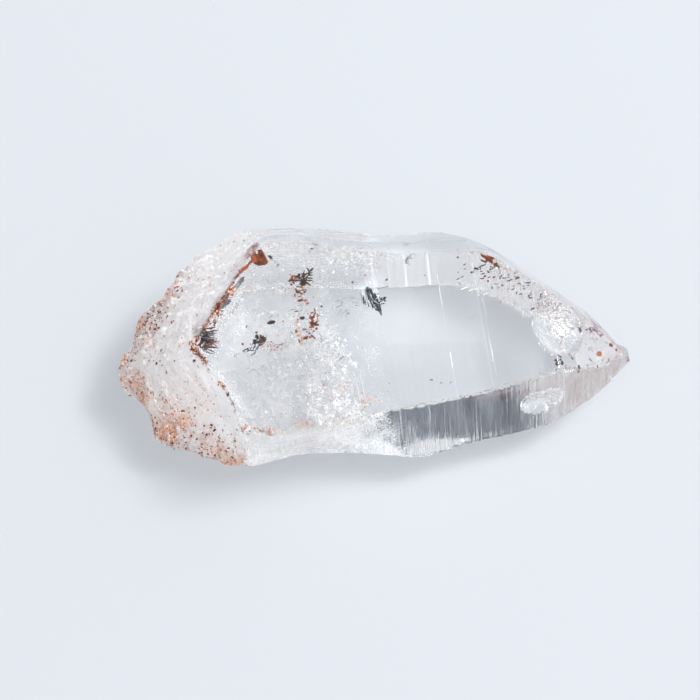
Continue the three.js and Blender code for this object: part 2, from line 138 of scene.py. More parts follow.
# Teeth of the +Y bottom edge, where its growth ledges end one after another
TEETH = (9.6, 10.3, 10.9, 11.7, 12.2, 13.0, 13.6, 14.4, 15.1, 15.9, 16.6)
TEETH_DEPTH = 0.5
TEETH_REACH = 0.55
# Arcs of the shell-shaped break near the tip, which fade out towards its right
SCOOP_CENTRE = (19.9, -1.5, 8.5)
SCOOP_PITCH = 0.5
SCOOP_DEPTH = 0.03
SCOOP_FADE = 1.6
# Places in CHIPS of the shell-shaped break, the leaf-shaped chip, the one beside it, and the front chip
SCOOP, LEAF, LEAF_BESIDE, FRONT_CHIP = 0, 1, 2, 5
# Small breaks along the edges: edge, how many, and the largest
SMALL_CHIPS = (
    ("top_plus", 16, 0.3), ("waist_plus", 14, 0.32), ("waist_minus", 18, 0.34), ("top_minus", 46, 0.42),
)
# Edges of the crystal that turn by more degrees than this stay sharp
SHARP_ANGLE = 24

# Where the etched root ends along the crystal, on the +Y faces, the -Y faces, and the top and bottom
ETCH_PLUS, ETCH_MINUS, ETCH_MIDDLE = (-8.6, -11.4), (-12.2, -13.6), (-15.5, -16.8)
# The tip is etched a little too
TIP_ETCH, TIP_ETCH_FROM = 0.45, (22.2, 23.2)

# The matt part of the underside: from where to where it fades, on the +Y lower face and on the others
MATT_PLUS = (8, -2)
MATT_UNDER = (-2.2, -4.8)

# Specks, scales, film and white grains on the broken root
ROOT_SPECKS, ROOT_SCALES, ROOT_FILM, ROOT_FROST = 5200, 240, 3400, 15000
# White grains on the shell-shaped break, the leaf-shaped chip, and the front chip with its crushed patch:
# the weight that they follow, how many there are, and the largest
BREAK_GRAINS = (("broken", 2300, 0.03), ("leaf", 1200, 0.05), ("white_chip", 5600, 0.055))
SMALLEST_GRAIN = 0.015

# Crushed places inside the crystal: middle, spread in x, y and z, and how many thin gaps each has
CRUSHED = (
    ((-3.8, -1.6, 5.6), (0.8, 1.1, 0.6), 90), ((-6.1, -5, 5), (0.45, 1.4, 0.6), 110),
    ((-5.2, -7.8, 4.6), (0.6, 0.7, 0.5), 70), ((-3.4, -7.1, 5), (0.8, 0.7, 0.8), 150),
    ((-3.2, -5.4, 5.2), (0.5, 1, 0.5), 60), ((-6.6, 0, 7), (0.5, 1.4, 0.5), 30),
    ((0.6, 6, 11), (2.2, 0.45, 0.3), 70), ((20.8, -3.8, 7), (1, 0.7, 0.5), 30),
)
CRUSHED_SIZE = (0.1, 0.42)

# Zones of white flakes: middle, spread in x, y and z, and how many each has
WHITE_ZONES = (
    ((-3.6, -2.2, 4.8), (0.8, 1.5, 0.8), 420), ((-5.9, -5.6, 4), (0.7, 1.8, 0.8), 380),
    ((-3.7, -7.5, 4.2), (0.9, 0.6, 0.8), 700), ((-4.6, 0.6, 6), (0.7, 1.2, 0.8), 110),
    ((-0.8, 6.2, 10.6), (2.4, 0.6, 0.5), 130), ((-7.4, -1.5, 5), (2, 2.4, 1), 260),
    ((-9.8, -5.6, 3), (1.8, 2.4, 1), 260), ((-6, 8.1, 0.9), (3.4, 0.6, 0.5), 420),
    ((-9, 3, 4), (2.4, 2.4, 1.2), 160),
)
WHITE_SIZE = (0.03, 0.13)
# White seams in the quartz, as (x, from y, to y, z, radius)
SEAMS = (
    (-1.9, -3.6, -6.9, 5.2, 0.03), (-1.5, -3.2, -6.7, 5.2, 0.025), (-2.4, -4.6, -7.2, 5, 0.03),
    (-4.9, -0.6, -3, 5.3, 0.025), (-2.9, -4.9, -7, 5, 0.02), (-0.7, -1.2, -4.4, 5.6, 0.018),
)
# A haze of milky wisps in the left half
WISPS, WISP_MOTES, WISP_SPAN = 200, 110, (-14, 1)

# Painted highlights on the kyanite, white threads that stand for its glints, as (x, y, length, turn in
# degrees) from its middle
PAINTED_KYANITE_GLINTS = (
    (0.1, 0.3, 1.1, -80), (-0.3, 0.1, 0.7, -82), (0.45, -0.3, 0.6, -50), (0.65, 0.1, 0.5, 38),
    (0.3, -0.75, 0.5, -70), (0.85, -0.25, 0.4, 20), (-0.55, 0.5, 0.5, -84),
)
# Small red flakes beside the clusters: x and y on their sheet, spread, how many, and size
RED_GROUPS = (
    (-6.3, 5.9, 0.22, 9, 0.2), (-5.8, 4.8, 0.26, 9, 0.18), (-5.4, 3.9, 0.3, 5, 0.13),
    (-9.9, 0.1, 0.2, 8, 0.16), (-9.1, -0.4, 0.3, 9, 0.12), (-12.4, 4.9, 0.16, 4, 0.14),
    (-13.6, 3.2, 0.16, 5, 0.18), (-14.4, 2.3, 0.16, 5, 0.16), (-15.1, 1.9, 0.14, 6, 0.16),
    (-14.9, 0.5, 0.2, 5, 0.12), (-11.9, 0.1, 0.1, 2, 0.14), (-5, 2.2, 0.25, 6, 0.16),
)

# Patches of pale orange film: middle, spread, how many scales and their size; feathers in the same way
FILM_PATCHES = (
    ((-1.4, -6.3, 4.6), (0.5, 0.45, 0.1), 26, 0.12), ((-3.7, -7.2, 4.5), (0.9, 0.3, 0.1), 30, 0.12),
    ((-3, -5, 4.9), (0.25, 0.6, 0.1), 10, 0.14), ((-4.7, -5, 4.8), (0.3, 0.4, 0.1), 7, 0.12),
    ((-7.2, -8, 5.2), (0.5, 0.2, 0.1), 14, 0.16), ((-9, -0.2, 6.4), (0.8, 0.5, 0.1), 14, 0.13),
    ((-6.4, 0.4, 6.9), (0.2, 0.5, 0.1), 14, 0.22), ((-5.7, 4, 7.6), (0.3, 0.8, 0.1), 12, 0.12),
    ((0.9, -4.5, 5.6), (0.3, 1.6, 0.1), 8, 0.08), ((-8.2, 2.2, 8), (0.7, 0.3, 0.1), 8, 0.12),
    ((-7.2, 4.4, 8.2), (0.3, 0.3, 0.1), 6, 0.1), ((12.7, 4.9, 6.85), (0.35, 0.28, 0.03), 12, 0.15),
)
FEATHERS = (
    ((-2.4, 2.4, 7.6), (0.9, 0.7, 0.1), 26), ((-6.2, 2.6, 7.9), (0.4, 0.7, 0.1), 14),
    ((-8, 7, 11), (0.8, 0.3, 0.1), 8), ((-4, 6.9, 10.8), (1.2, 0.4, 0.1), 12),
    ((-11, -2.4, 6.2), (0.6, 0.4, 0.1), 8),
)

# Lone dark grains and dashes in the crystal, as (x, y, z, length, width, turn in degrees)
DARK_GRAINS = (
    (-0.9, 3.9, 9.5, 0.24, 0.2, 20), (2.3, 3.7, 9.4, 0.26, 0.16, 10), (-9, 1.4, 8.5, 0.85, 0.36, 8),
    (0.3, 6.2, 10.9, 0.34, 0.18, 30), (-4.2, 7.3, 11.1, 0.3, 0.16, -20), (-8.2, 7.1, 11, 0.45, 0.28, -50),
    (-7.6, 6.2, 10.9, 0.36, 0.12, 50), (-4.1, 2.4, 8.2, 0.22, 0.18, 0), (-6, 1.6, 8, 0.4, 0.32, -40),
    (16.5, -6.6, 8.9, 0.28, 0.2, 10), (16.6, -6.9, 8.8, 0.48, 0.34, 60), (17.8, -6.3, 8.1, 0.24, 0.2, -30),
    (18.3, -6.9, 7.6, 0.26, 0.22, 0), (19.7, -6.1, 6.8, 0.5, 0.13, -45), (21, -5.9, 5.9, 0.2, 0.18, 0),
    (21.7, -5.8, 5.6, 0.26, 0.16, 60), (22.1, -5.8, 5.5, 0.16, 0.1, 50), (20, -3.3, 7.6, 0.3, 0.16, 0),
    (5, -6, 6.7, 0.24, 0.12, -10), (5.8, -6.4, 6.6, 0.2, 0.1, -30), (6.7, -6.5, 6.6, 0.2, 0.08, 40),
)
DASHES = (
    (12.8, 2.8, 10.9, 0.45, 0.12, 80), (13.6, 1.6, 10.1, 0.6, 0.13, 12), (14.4, 1.7, 10.2, 0.35, 0.2, 25),
    (15.2, 1.1, 10.1, 0.5, 0.12, -5), (12.9, 1.4, 9.6, 0.25, 0.2, 0), (14.1, 0.5, 9.4, 0.3, 0.12, 70),
    (12.5, 0, 8.8, 0.22, 0.14, -60), (15.3, -1.4, 9.6, 0.5, 0.09, 15), (17.3, -0.9, 8.5, 0.55, 0.1, 35),
    (17.4, -1.7, 8, 0.35, 0.1, 40), (16.2, -0.5, 10.2, 0.25, 0.1, 80), (16, -0.9, 9.8, 0.22, 0.1, 75),
    (13.8, 0.7, 10, 0.3, 0.08, 15), (11.9, 1.2, 9.8, 0.25, 0.1, 85), (15, 1.9, 10.3, 0.3, 0.1, 30),
    (17.8, -0.2, 8.4, 0.35, 0.28, 20), (17.2, -0.3, 8.9, 0.4, 0.1, 30),
)
BEADS = (
    (12.2, 2.8, 10.8), (12, 2.7, 10.8), (11.8, 2.5, 10.7), (11.7, 2.6, 10.7), (12.4, 3, 10.9),
    (11.6, 1.8, 10.2),
)
RUST_GRAINS = (
    (11.4, 2.3, 10.3, 0.24, 0.2, 20), (11.7, 2.1, 10.3, 0.2, 0.16, -20), (11.2, 2.1, 10.3, 0.18, 0.14, 60),
    (12.2, 2.1, 10.2, 0.26, 0.2, 30), (16.2, -0.4, 10.5, 0.2, 0.16, 0), (17, -0.6, 9.5, 0.26, 0.2, 0),
    (-5.9, 3.3, 8.3, 0.4, 0.26, 20), (-6.4, 3.9, 8.3, 0.34, 0.2, 80), (-6.5, 2.3, 8.1, 0.5, 0.16, 10),
    (-5.4, 2.9, 8.1, 0.24, 0.14, -10), (-11.3, 1.4, 8.4, 0.3, 0.14, 70), (0.4, 4.4, 9.6, 0.16, 0.14, 0),
    (21.3, -3.6, 6.5, 0.2, 0.42, 10), (22.3, -4.4, 5.8, 0.5, 0.34, -20), (22.8, -4.8, 5.4, 0.3, 0.3, 0),
    (9.2, 4.5, 10.6, 0.26, 0.14, 0), (5.9, 3.6, 9.4, 0.14, 0.1, 0),
)
# Spots on the broken root, in the same way
ROOT_SPOTS = (
    (-22.6, 1.1, 6, 0.42, 0.26, 20), (-20, -0.6, 8.3, 0.34, 0.1, 30), (-20, -0.6, 8.3, 0.34, 0.1, -40),
    (-20, -0.6, 8.3, 0.3, 0.08, 85), (-19.6, -1.1, 8.5, 0.2, 0.12, 0), (-15.5, -7.3, 6.3, 0.45, 0.2, 40),
    (-16.4, -6.6, 6.5, 0.2, 0.16, 0), (-15.8, -6.8, 6.6, 0.2, 0.16, 60), (-18.4, -7.5, 4.8, 0.24, 0.16, 0),
    (-20.4, -7, 4.1, 0.24, 0.14, -40), (-19.2, -7.9, 4.1, 0.2, 0.16, 20), (-16.3, -1.8, 10.4, 0.4, 0.09, 10),
    (-16.3, -1.8, 10.4, 0.4, 0.09, 60), (-16.3, -1.8, 10.4, 0.38, 0.09, -50),
    (-19.9, -3.9, 6.8, 0.2, 0.14, 0), (-13.6, -8.3, 8, 0.3, 0.14, -60), (-17.1, -5.3, 7.6, 0.26, 0.12, -20),
)


def ease(x, start, end):
    share = np.clip((np.asarray(x, float) - start) / (end - start), 0, 1)
    return share * share * (3 - 2 * share)


def close_to(distance, reach):
    """1 at no distance, falling smoothly to 0 beyond reach."""
    return np.exp(-((distance / reach) ** 2))


def curve_through(points):
    """A smooth curve through the points without overshoot."""
    px, py = np.array(points, float).T
    width = np.diff(px)
    slopes = np.diff(py) / width
    before = np.concatenate([slopes[:1], slopes])
    after = np.concatenate([slopes, slopes[-1:]])
    total = np.where(before * after > 0, before + after, 1)
    tangent = np.where(before * after > 0, 2 * before * after / total, 0)

    def at(x):
        i = np.clip(np.searchsorted(px, x, side="right") - 1, 0, len(px) - 2)
        t = (x - px[i]) / width[i]
        start = (1 + 2 * t) * (1 - t) ** 2 * py[i] + t * (1 - t) ** 2 * width[i] * tangent[i]
        end = t * t * (3 - 2 * t) * py[i + 1] + t * t * (t - 1) * width[i] * tangent[i + 1]
        return start + end

    return at


waist_plus = curve_through(WAIST_PLUS)
waist_minus = curve_through(WAIST_MINUS)
top_plus = curve_through(TOP_PLUS)
top_minus = curve_through(TOP_MINUS)


def leaned(points):
    """Points of the upright crystal after it leans towards -Y."""
    x, y, z = np.moveaxis(np.asarray(points, float), -1, 0)
    cos, sin = math.cos(LEAN), math.sin(LEAN)
    return np.stack([x, y * cos - z * sin + LEAN_SHIFT, y * sin + z * cos], -1)


def corners(x):
    """The six corners of the section at each x, in order from the top edge on the +Y side."""
    tip_rise = np.maximum(0, x - TIP_FACE_START) * TIP_FACE_SLOPE
    root_share = np.maximum(0, ROOT_FACE_START - x) / (ROOT_FACE_START + HALF_LENGTH)
    top = THICKNESS - tip_rise - (THICKNESS - ROOT_Z - END_HALF_HEIGHT) * root_share**ROOT_TOP_CURVE
    bottom = tip_rise + (ROOT_Z - END_HALF_HEIGHT) * root_share**ROOT_BOTTOM_CURVE

    def waist(middle):
        towards_tip = (TIP_Z - middle) * ease(x, TIP_FACE_START, HALF_LENGTH)
        return middle + towards_tip + (ROOT_Z - middle) * ease(x, ROOT_FACE_START, -HALF_LENGTH)

    keel = ease(x, KEEL_START, ROOT_FACE_START)
    edges = {
        "top_plus": np.stack([x, top_plus(x), top], -1),
        "waist_plus": np.stack([x, waist_plus(x), waist(WAIST_PLUS_Z)], -1),
        "waist_minus": np.stack([x, waist_minus(x), waist(WAIST_MINUS_Z)], -1),
        "top_minus": np.stack([x, top_minus(x), top], -1),
    }
    edges = {name: leaned(points) for name, points in edges.items()}
    inset_plus = BOTTOM_INSET_PLUS * (edges["waist_plus"][:, 2] - bottom) / WAIST_PLUS_Z
    inset_minus = BOTTOM_INSET_MINUS * (edges["waist_minus"][:, 2] - bottom) / WAIST_MINUS_Z
    bottom_plus = edges["waist_plus"][:, 1] - inset_plus
    bottom_minus = edges["waist_minus"][:, 1] + inset_minus
    bottom_plus += (KEEL_Y + KEEL_HALF_WIDTH - bottom_plus) * keel
    bottom_minus += (KEEL_Y - KEEL_HALF_WIDTH - bottom_minus) * keel
    return np.stack(
        [
            edges["top_plus"],
            edges["waist_plus"],
            np.stack([x, bottom_plus, bottom], -1),
            np.stack([x, bottom_minus, bottom], -1),
            edges["waist_minus"],
            edges["top_minus"],
        ],
        1,
    )


def ledge(x, share):
    """Depth of the growth ledges: each grows to the next place in LEDGE_X and drops back there."""
    places = np.array(LEDGE_X)
    after = np.searchsorted(places, x, side="right")
    inside = (after > 0) & (after < len(places))
    i = np.clip(after, 1, len(places) - 1)
    growth = (x - places[i - 1]) / (places[i] - places[i - 1])
    return np.where(inside, LEDGE_DEPTH * growth * share * np.array(LEDGE_UNEVENNESS)[i], 0)


def value_noise(points, seed):
    """Smooth noise from -1 to 1 at each row of points."""
    points = np.asarray(points, float)
    cell = np.floor(points).astype(np.int64)
    t = points - cell
    t = t * t * (3 - 2 * t)
    total = np.zeros(points.shape[:-1])
    for corner in np.ndindex(2, 2, 2):
        i, j, k = np.moveaxis(cell + np.array(corner), -1, 0)
        h = (i * 374761393 + j * 668265263 + k * 974634777 + seed * 362437) & 0xFFFFFFFF
        h = ((h ^ (h >> 13)) * 1274126177) & 0xFFFFFFFF
        value = ((h ^ (h >> 16)) & 0xFFFF) / 32767.5 - 1
        total += value * np.where(np.array(corner, bool), t, 1 - t).prod(-1)
    return total


def rough_noise(points, scale, octaves, seed):
    """Noise of several layers, the coarsest with scale turns per millimetre."""
    points = np.asarray(points, float) * scale
    shares = [0.55**k for k in range(octaves)]
    layers = [share * value_noise(points * 2.03**k, seed + k) for k, share in enumerate(shares)]
    return sum(layers) / sum(shares)


def root_lump(points):
    x, y, z = np.moveaxis(points, -1, 0)
    waves = [np.sin(kx * x + ky * y + kz * z + phase) for kx, ky, kz, phase in LUMP_WAVES]
    height = LUMP_LEVEL + LUMP_PRODUCT * waves[0] * waves[1] + LUMP_SINGLE * waves[2]
    waist = TIP_Z + (ROOT_Z - TIP_Z) * ease(x, ROOT_FACE_START, -HALF_LENGTH)
    keep = 1 - LUMP_WAIST_SHARE * close_to(z - waist, LUMP_WAIST_REACH)
    return LUMP_DEPTH * keep * ease(x, *LUMP_FADE) * height


def stations():
    parts = []
    for (start, step), (end, _) in zip(STATION_STEPS, STATION_STEPS[1:]):
        parts.append(np.arange(start, end - step / 2, step))
    return np.concatenate(parts + [[HALF_LENGTH]])


def crystal_grid():
    """The faces before wear: points in rows, one per station, with the side of each and its place on it."""
    x = stations()
    outline = corners(x)
    places = np.array(TEETH)
    after = np.clip(np.searchsorted(places, x), 1, len(places) - 1)
    tooth = (x - places[after - 1]) / (places[after] - places[after - 1])
    toothed = (x > places[0]) & (x < places[-1])
    bite = np.where(toothed, TEETH_DEPTH * (1 - tooth) * (0.6 + 0.4 * np.sin(7 * after)), 0)
    rows, sides, near = [], [], []
    for side, count in enumerate(SIDE_SAMPLES):
        t = np.arange(count) / count
        t = t + ((0.5 - 0.5 * np.cos(math.pi * t)) - t) * CORNER_CLUSTER
        start, end = outline[:, side, None], outline[:, (side + 1) % 6, None]
        length = np.linalg.norm(end - start, axis=-1)
        rows.append(start + (end - start) * t[None, :, None])
        near.append(np.stack([length * t, length * (1 - t)], -1))
        sides.append(np.full(count, side))
    points, sides, near = np.concatenate(rows, 1), np.concatenate(sides), np.concatenate(near, 1)
    points[..., 1] -= bite[:, None] * close_to(edge_distance(sides, near, "bottom_plus"), TEETH_REACH)
    return x, points, sides, near, outline.mean(1)


def edge_distance(sides, near, name):
    """Distance of each point from an edge; far on the faces that lack it."""
    corner = EDGES.index(name)
    starts, ends = sides == corner, sides == (corner + 5) % 6
    return np.where(starts, near[..., 0], np.where(ends, near[..., 1], HALF_LENGTH))


def striations(across, points, sides):
    """How deep the fine lines across each face lie."""
    face = np.broadcast_to(sides * 19.7, points.shape[:2])
    along = np.stack([across, 0.08 * points[..., 1], face + 0.08 * points[..., 2]], -1)
    fine = value_noise(along * (3.1, 1, 1), 3) + 0.6 * value_noise(along * (6.3, 1, 1), 4)
    coarse = value_noise(along * (0.9, 0.7, 0.7), 5)
    return np.array(STRIATION_DEPTH)[sides][None, :] * (1.5 + fine) * (1 + 0.8 * coarse)


def groove_noise(at, y):
    """Noise along the groove at x = at, which says where it is strong."""
    return value_noise(np.stack([0 * y + at, 0.35 * y, 0 * y], -1), GROOVE_SEED)


def edge_wear(across, sides, near):
    """How far the edges are worn back at each point, more where they are chipped."""
    worn = 0
    for end in (0, 1):
        corner = (sides + end) % 6
        place = np.broadcast_to(corner * 7.3, across.shape)
        chipped = value_noise(np.stack([across * 2.6, place, 0 * across], -1), 11)
        chipped = chipped + 0.7 * value_noise(np.stack([across * 6.1, place, 0 * across], -1), 12)
        amount = np.array(EDGE_WEAR)[corner][None, :] * close_to(near[..., end], EDGE_REACH)
        worn = worn + amount * np.clip(0.55 + 0.8 * chipped, 0.12, 2)
    return worn


def worn_inset(x, points, sides, near):
    """How far each point lies under its smooth face: ledges, striations, grooves, worn edges and lumps."""
    across = np.broadcast_to(x[:, None], points.shape[:2])
    shares = np.array(LEDGE_SHARE)[sides]
    at_corner = near[0, :, 0] == 0
    shares = np.where(at_corner, np.minimum(shares, np.array(LEDGE_SHARE)[(sides + 5) % 6]), shares)
    inset = ledge(across, shares[None, :]) + striations(across, points, sides)
    for at, half, deep in GROOVES:
        fade = np.clip(1.3 * groove_noise(at, points[..., 1]) + 0.8, 0, 1)
        profile = np.clip(1 - np.abs(across - at) / half, 0, 1)
        inset = inset + (sides == TOP_SIDE)[None, :] * deep * fade * profile
    inset = inset + edge_wear(across, sides, near)
    lower = np.minimum(edge_distance(sides, near, "bottom_plus"), edge_distance(sides, near, "bottom_minus"))
    inset = inset + LOWER_ROUNDING * close_to(lower, LOWER_REACH) * ease(across, *LOWER_FADE)
    return inset + root_lump(points)


def etched_share(points, sides):
    """1 on the etched and broken root, 0 on the clean faces."""
    x = points[..., 0]
    edge = 0.8 * rough_noise(points, 0.45, 3, 21)
    tip = TIP_ETCH * ease(x + 0.5 * edge, *TIP_ETCH_FROM)
    plus, minus, middle = (ease(x + edge, *ends) + tip for ends in (ETCH_PLUS, ETCH_MINUS, ETCH_MIDDLE))
    on_plus = np.isin(sides, (UPPER_PLUS, LOWER_PLUS))[None, :]
    on_minus = np.isin(sides, (UPPER_MINUS, LOWER_MINUS))[None, :]
    return np.where(on_plus, plus, np.where(on_minus, minus, middle))


def matt_share(points, sides):
    """1 on the matt part of the underside, 0 where the crystal is clear."""
    along = points[..., 0] + 1.4 * rough_noise(points, 0.4, 4, 22)
    patchy = np.clip(0.85 + 0.4 * rough_noise(points, 0.9, 3, 24), 0, 1)
    under = np.where(np.isin(sides, (BOTTOM_SIDE, LOWER_MINUS)), ease(along, *MATT_UNDER), 0)
    return patchy * np.where(sides == LOWER_PLUS, ease(along, *MATT_PLUS), under)


def inward_of(points, middle):
    """Unit vectors from the points towards the middle of their section."""
    inward = middle[:, None] - points
    return inward / (np.linalg.norm(inward, axis=-1, keepdims=True) + 1e-9)


def carve(points, middle, chips):
    """Moves the points inside each ellipsoid in towards the middle, out to the ellipsoid's far side."""
    depth = np.zeros(points.shape[:2])
    for at, half in chips:
        half = np.array(half, float)
        rows = np.abs(points[:, 0, 0] - at[0]) < half[0]
        patch = points[rows]
        inward = inward_of(patch, middle[rows])
        p, d = (patch - at) / half, inward / half
        a, b, c = (d * d).sum(-1), (p * d).sum(-1), (p * p).sum(-1) - 1
        step = np.where(c < 0, (-b + np.sqrt(np.maximum(b * b - a * c, 0))) / a, 0)
        points[rows] = patch + inward * step[..., None]
        depth[rows] = np.maximum(depth[rows], step)
    return depth


def small_chips(points, sides, rng):
    """Small breaks along the edges of the faces, as ellipsoids."""
    found = []
    starts = np.flatnonzero(np.diff(np.concatenate([[-1], sides])))
    first, last = int(0.2 * len(points)), len(points) - 12
    for edge, count, largest in SMALL_CHIPS:
        for _ in range(count):
            row = rng.integers(first, last)
            size = largest * rng.uniform(0.3, 1) ** 1.5
            at = points[row, starts[EDGES.index(edge)]] + (0, 0, 0.25 * size)
            stretch = (rng.uniform(0.8, 2.2), rng.uniform(0.6, 1.1), rng.uniform(0.5, 0.9))
            found.append((at, tuple(size * share for share in stretch)))
    return found


def grid_mesh(name, points):
    """A closed mesh of a grid of rings, with its ends capped."""
    rings, around = points.shape[:2]
    index = np.arange(rings * around).reshape(rings, around)
    nxt = np.roll(index, -1, 1)
    quads = np.stack([index[:-1], index[1:], nxt[1:], nxt[:-1]], -1).reshape(-1, 4)
    vertices = points.reshape(-1, 3)
    ends = np.array([points[0].mean(0), points[-1].mean(0)])
    first = [(len(vertices), int(a), int(b)) for a, b in zip(index[0], nxt[0])]
    last = [(len(vertices) + 1, int(b), int(a)) for a, b in zip(index[-1], nxt[-1])]
    mesh = bpy.data.meshes.new(name)
    mesh.from_pydata(np.vstack([vertices, ends]) * MM, [], quads.tolist() + first + last)
    mesh.update()
    return mesh


def add_piece(name, mesh, material, replaced=()):
    piece = bpy.data.objects.new(name, mesh)
    bpy.context.scene.collection.objects.link(piece)
    mesh.materials.append(material)
    if replaced:
        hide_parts(*replaced)
    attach(piece, "root")
    return piece


def smooth_with_sharp_edges(mesh, angle):
    mesh.polygons.foreach_set("use_smooth", [True] * len(mesh.polygons))
    mesh.set_sharp_from_angle(angle=math.radians(angle))


def store(mesh, name, values):
    """Keeps one number per point of the mesh, for its material."""
    values = np.concatenate([np.ravel(values), [0] * (len(mesh.vertices) - np.size(values))])
    mesh.attributes.new(name, "FLOAT", "POINT").data.foreach_set("value", values.astype(np.float32))


class Graph:
    """Short words for the nodes of a material or of the sky."""

    def __init__(self, owner):
        owner.use_nodes = True
        self.owner = owner
        self.nodes, self.links = owner.node_tree.nodes, owner.node_tree.links
        self.shader = self.nodes.get("Principled BSDF")

    def add(self, kind, links=None, **values):
        node = self.nodes.new(kind)
        for key, value in values.items():
            setattr(node, key, value)
        for key, value in (links or {}).items():
            self.put(node.inputs[key], value)
        return node

    def put(self, socket, value):
        if isinstance(value, bpy.types.NodeSocket):
            self.links.new(value, socket)
        else:
            socket.default_value = value

    def attribute(self, name):
        return self.add("ShaderNodeAttribute", attribute_name=name).outputs["Fac"]

    def place(self, scale):
        """Object coordinates in millimetres, times scale."""
        coords = self.add("ShaderNodeTexCoord").outputs["Object"]
        links = {"Vector": coords, "Scale": tuple(1000 * s for s in scale)}
        return self.add("ShaderNodeMapping", links).outputs["Vector"]

    def noise(self, scale, detail=3.0, roughness=0.55):
        links = {"Vector": self.place(scale), "Scale": 1.0, "Detail": detail, "Roughness": roughness}
        return self.add("ShaderNodeTexNoise", links).outputs["Fac"]

    def maths(self, operation, *values):
        node = self.add("ShaderNodeMath", operation=operation)
        for i, value in enumerate(values):
            self.put(node.inputs[i], value)
        return node.outputs[0]

    def ranged(self, value, low, high, to_low=0.0, to_high=1.0):
        links = {"Value": value, "From Min": low, "From Max": high, "To Min": to_low, "To Max": to_high}
        return self.add("ShaderNodeMapRange", links).outputs["Result"]

    def mixed(self, share, first, second):
        node = self.add("ShaderNodeMix", data_type="RGBA")
        self.put(node.inputs["Factor"], share)
        self.put(node.inputs[6], first)
        self.put(node.inputs[7], second)
        return node.outputs[2]


QUARTZ_IOR = 1.544
ABSORPTION_COLOUR, ABSORPTION_DENSITY = (0.9, 0.93, 0.95, 1), 4
# Colours of the quartz: plain, matt underside, etched root, rust stain and tan film
PLAIN, MATT_TINT, ETCH_TINT = (1, 1, 1, 1), (1, 0.985, 0.97, 1), (0.965, 0.915, 0.892, 1)
RUST_TINT, TAN_TINT = (0.5, 0.2, 0.08, 1), (0.7, 0.52, 0.3, 1)
# Roughness where it is etched, freshly broken and matt, as (smoothest, roughest)
ETCH_ROUGH, FROST_ROUGH, MATT_ROUGH = (0.36, 0.55), (0.12, 0.4), (0.2, 0.5)
# Height of the fine grain in the shading where it is etched, freshly broken and matt
ETCH_GRAIN, FROST_GRAIN, MATT_GRAIN = 0.06, 0.06, 0.04


def quartz_material():
    """Clear quartz, matt where it is etched or broken, stained on the root, with fine striae on its faces."""
    g = Graph(bpy.data.materials.new("quartz_clear"))
    etch, rust, frost, matt = (g.attribute(name) for name in ("etch", "rust", "frost", "matt"))
    grain = g.noise((2.2, 2.2, 2.2), 4.0)
    fine_grain = g.noise((7, 7, 7), 3.0)
    blotch = g.noise((0.6, 0.6, 0.6), 3.0)
    stain = g.maths("MULTIPLY", rust, g.ranged(grain, 0.42, 0.56, 0.15, 1.0))
    film = g.maths("MULTIPLY", g.attribute("tan"), g.ranged(fine_grain, 0.35, 0.6))
    colour = PLAIN
    for share, tint in ((matt, MATT_TINT), (etch, ETCH_TINT), (stain, RUST_TINT), (film, TAN_TINT)):
        colour = g.mixed(share, colour, tint)
    g.put(g.shader.inputs["Base Color"], colour)
    rough = g.maths("MULTIPLY", etch, g.ranged(grain, 0.35, 0.65, *ETCH_ROUGH))
    rough = g.maths("MULTIPLY_ADD", frost, g.ranged(grain, 0.35, 0.65, *FROST_ROUGH), rough)
    rough = g.maths("MULTIPLY_ADD", matt, g.ranged(blotch, 0.3, 0.7, *MATT_ROUGH), rough)
    g.put(g.shader.inputs["Roughness"], rough)
    g.shader.inputs["IOR"].default_value = QUARTZ_IOR
    g.shader.inputs["Transmission Weight"].default_value = 1
    grainy = g.maths("MULTIPLY_ADD", frost, FROST_GRAIN, g.maths("MULTIPLY", matt, MATT_GRAIN))
    grainy = g.maths("MULTIPLY_ADD", etch, ETCH_GRAIN, grainy)
    striae = g.maths("SUBTRACT", g.noise((6.5, 0.05, 0.05), 2.5, 0.65), 0.5)
    patches = g.ranged(g.noise((1.1, 0.15, 0.15), 2.0), 0.35, 0.6, 0.3, 1.0)
    broken = g.maths("MULTIPLY", g.attribute("stria"), patches)
    height = g.maths("MULTIPLY_ADD", striae, broken, g.maths("MULTIPLY", fine_grain, grainy))
    links = {"Strength": 1.0, "Distance": MM, "Height": height}
    g.put(g.shader.inputs["Normal"], g.add("ShaderNodeBump", links).outputs["Normal"])
    absorption = g.add("ShaderNodeVolumeAbsorption")
    absorption.inputs["Color"].default_value = ABSORPTION_COLOUR
    absorption.inputs["Density"].default_value = ABSORPTION_DENSITY
    output = next(node for node in g.nodes if node.type == "OUTPUT_MATERIAL")
    g.links.new(absorption.outputs[0], output.inputs["Volume"])
    return g.owner


def rust_share(points, etch, edges):
    """Where rust stains the root: along its outline, along the edges of the top, and in faint clouds."""
    x = points[..., 0]
    patch = rough_noise(points, 0.55, 4, 31)
    plus_rim = close_to(edges["waist_plus"], 2.2) * ease(-x, 15.5, 18.5)
    minus_rim = close_to(edges["waist_minus"], 4.2) * ease(-x, 12.4, 14.6)
    end = ease(-x, 21.5, 23)
    share = np.clip(0.05 + 0.5 * plus_rim + 1.3 * minus_rim, 0, 1)
    amount = etch * share * np.clip(0.75 + 1.9 * patch, 0, 1) * (1 - 0.6 * end)
    dotted = np.clip(0.3 + 1.8 * rough_noise(points, 1.9, 2, 33), 0, 1)
    top_edge = np.minimum(edges["top_plus"], edges["top_minus"])
    on_line = close_to(top_edge, 0.3) * ease(-x, 9.5, 12.6) * ease(x, -17, -16.4)
    return np.clip(amount + 0.5 * dotted * on_line, 0, 1)


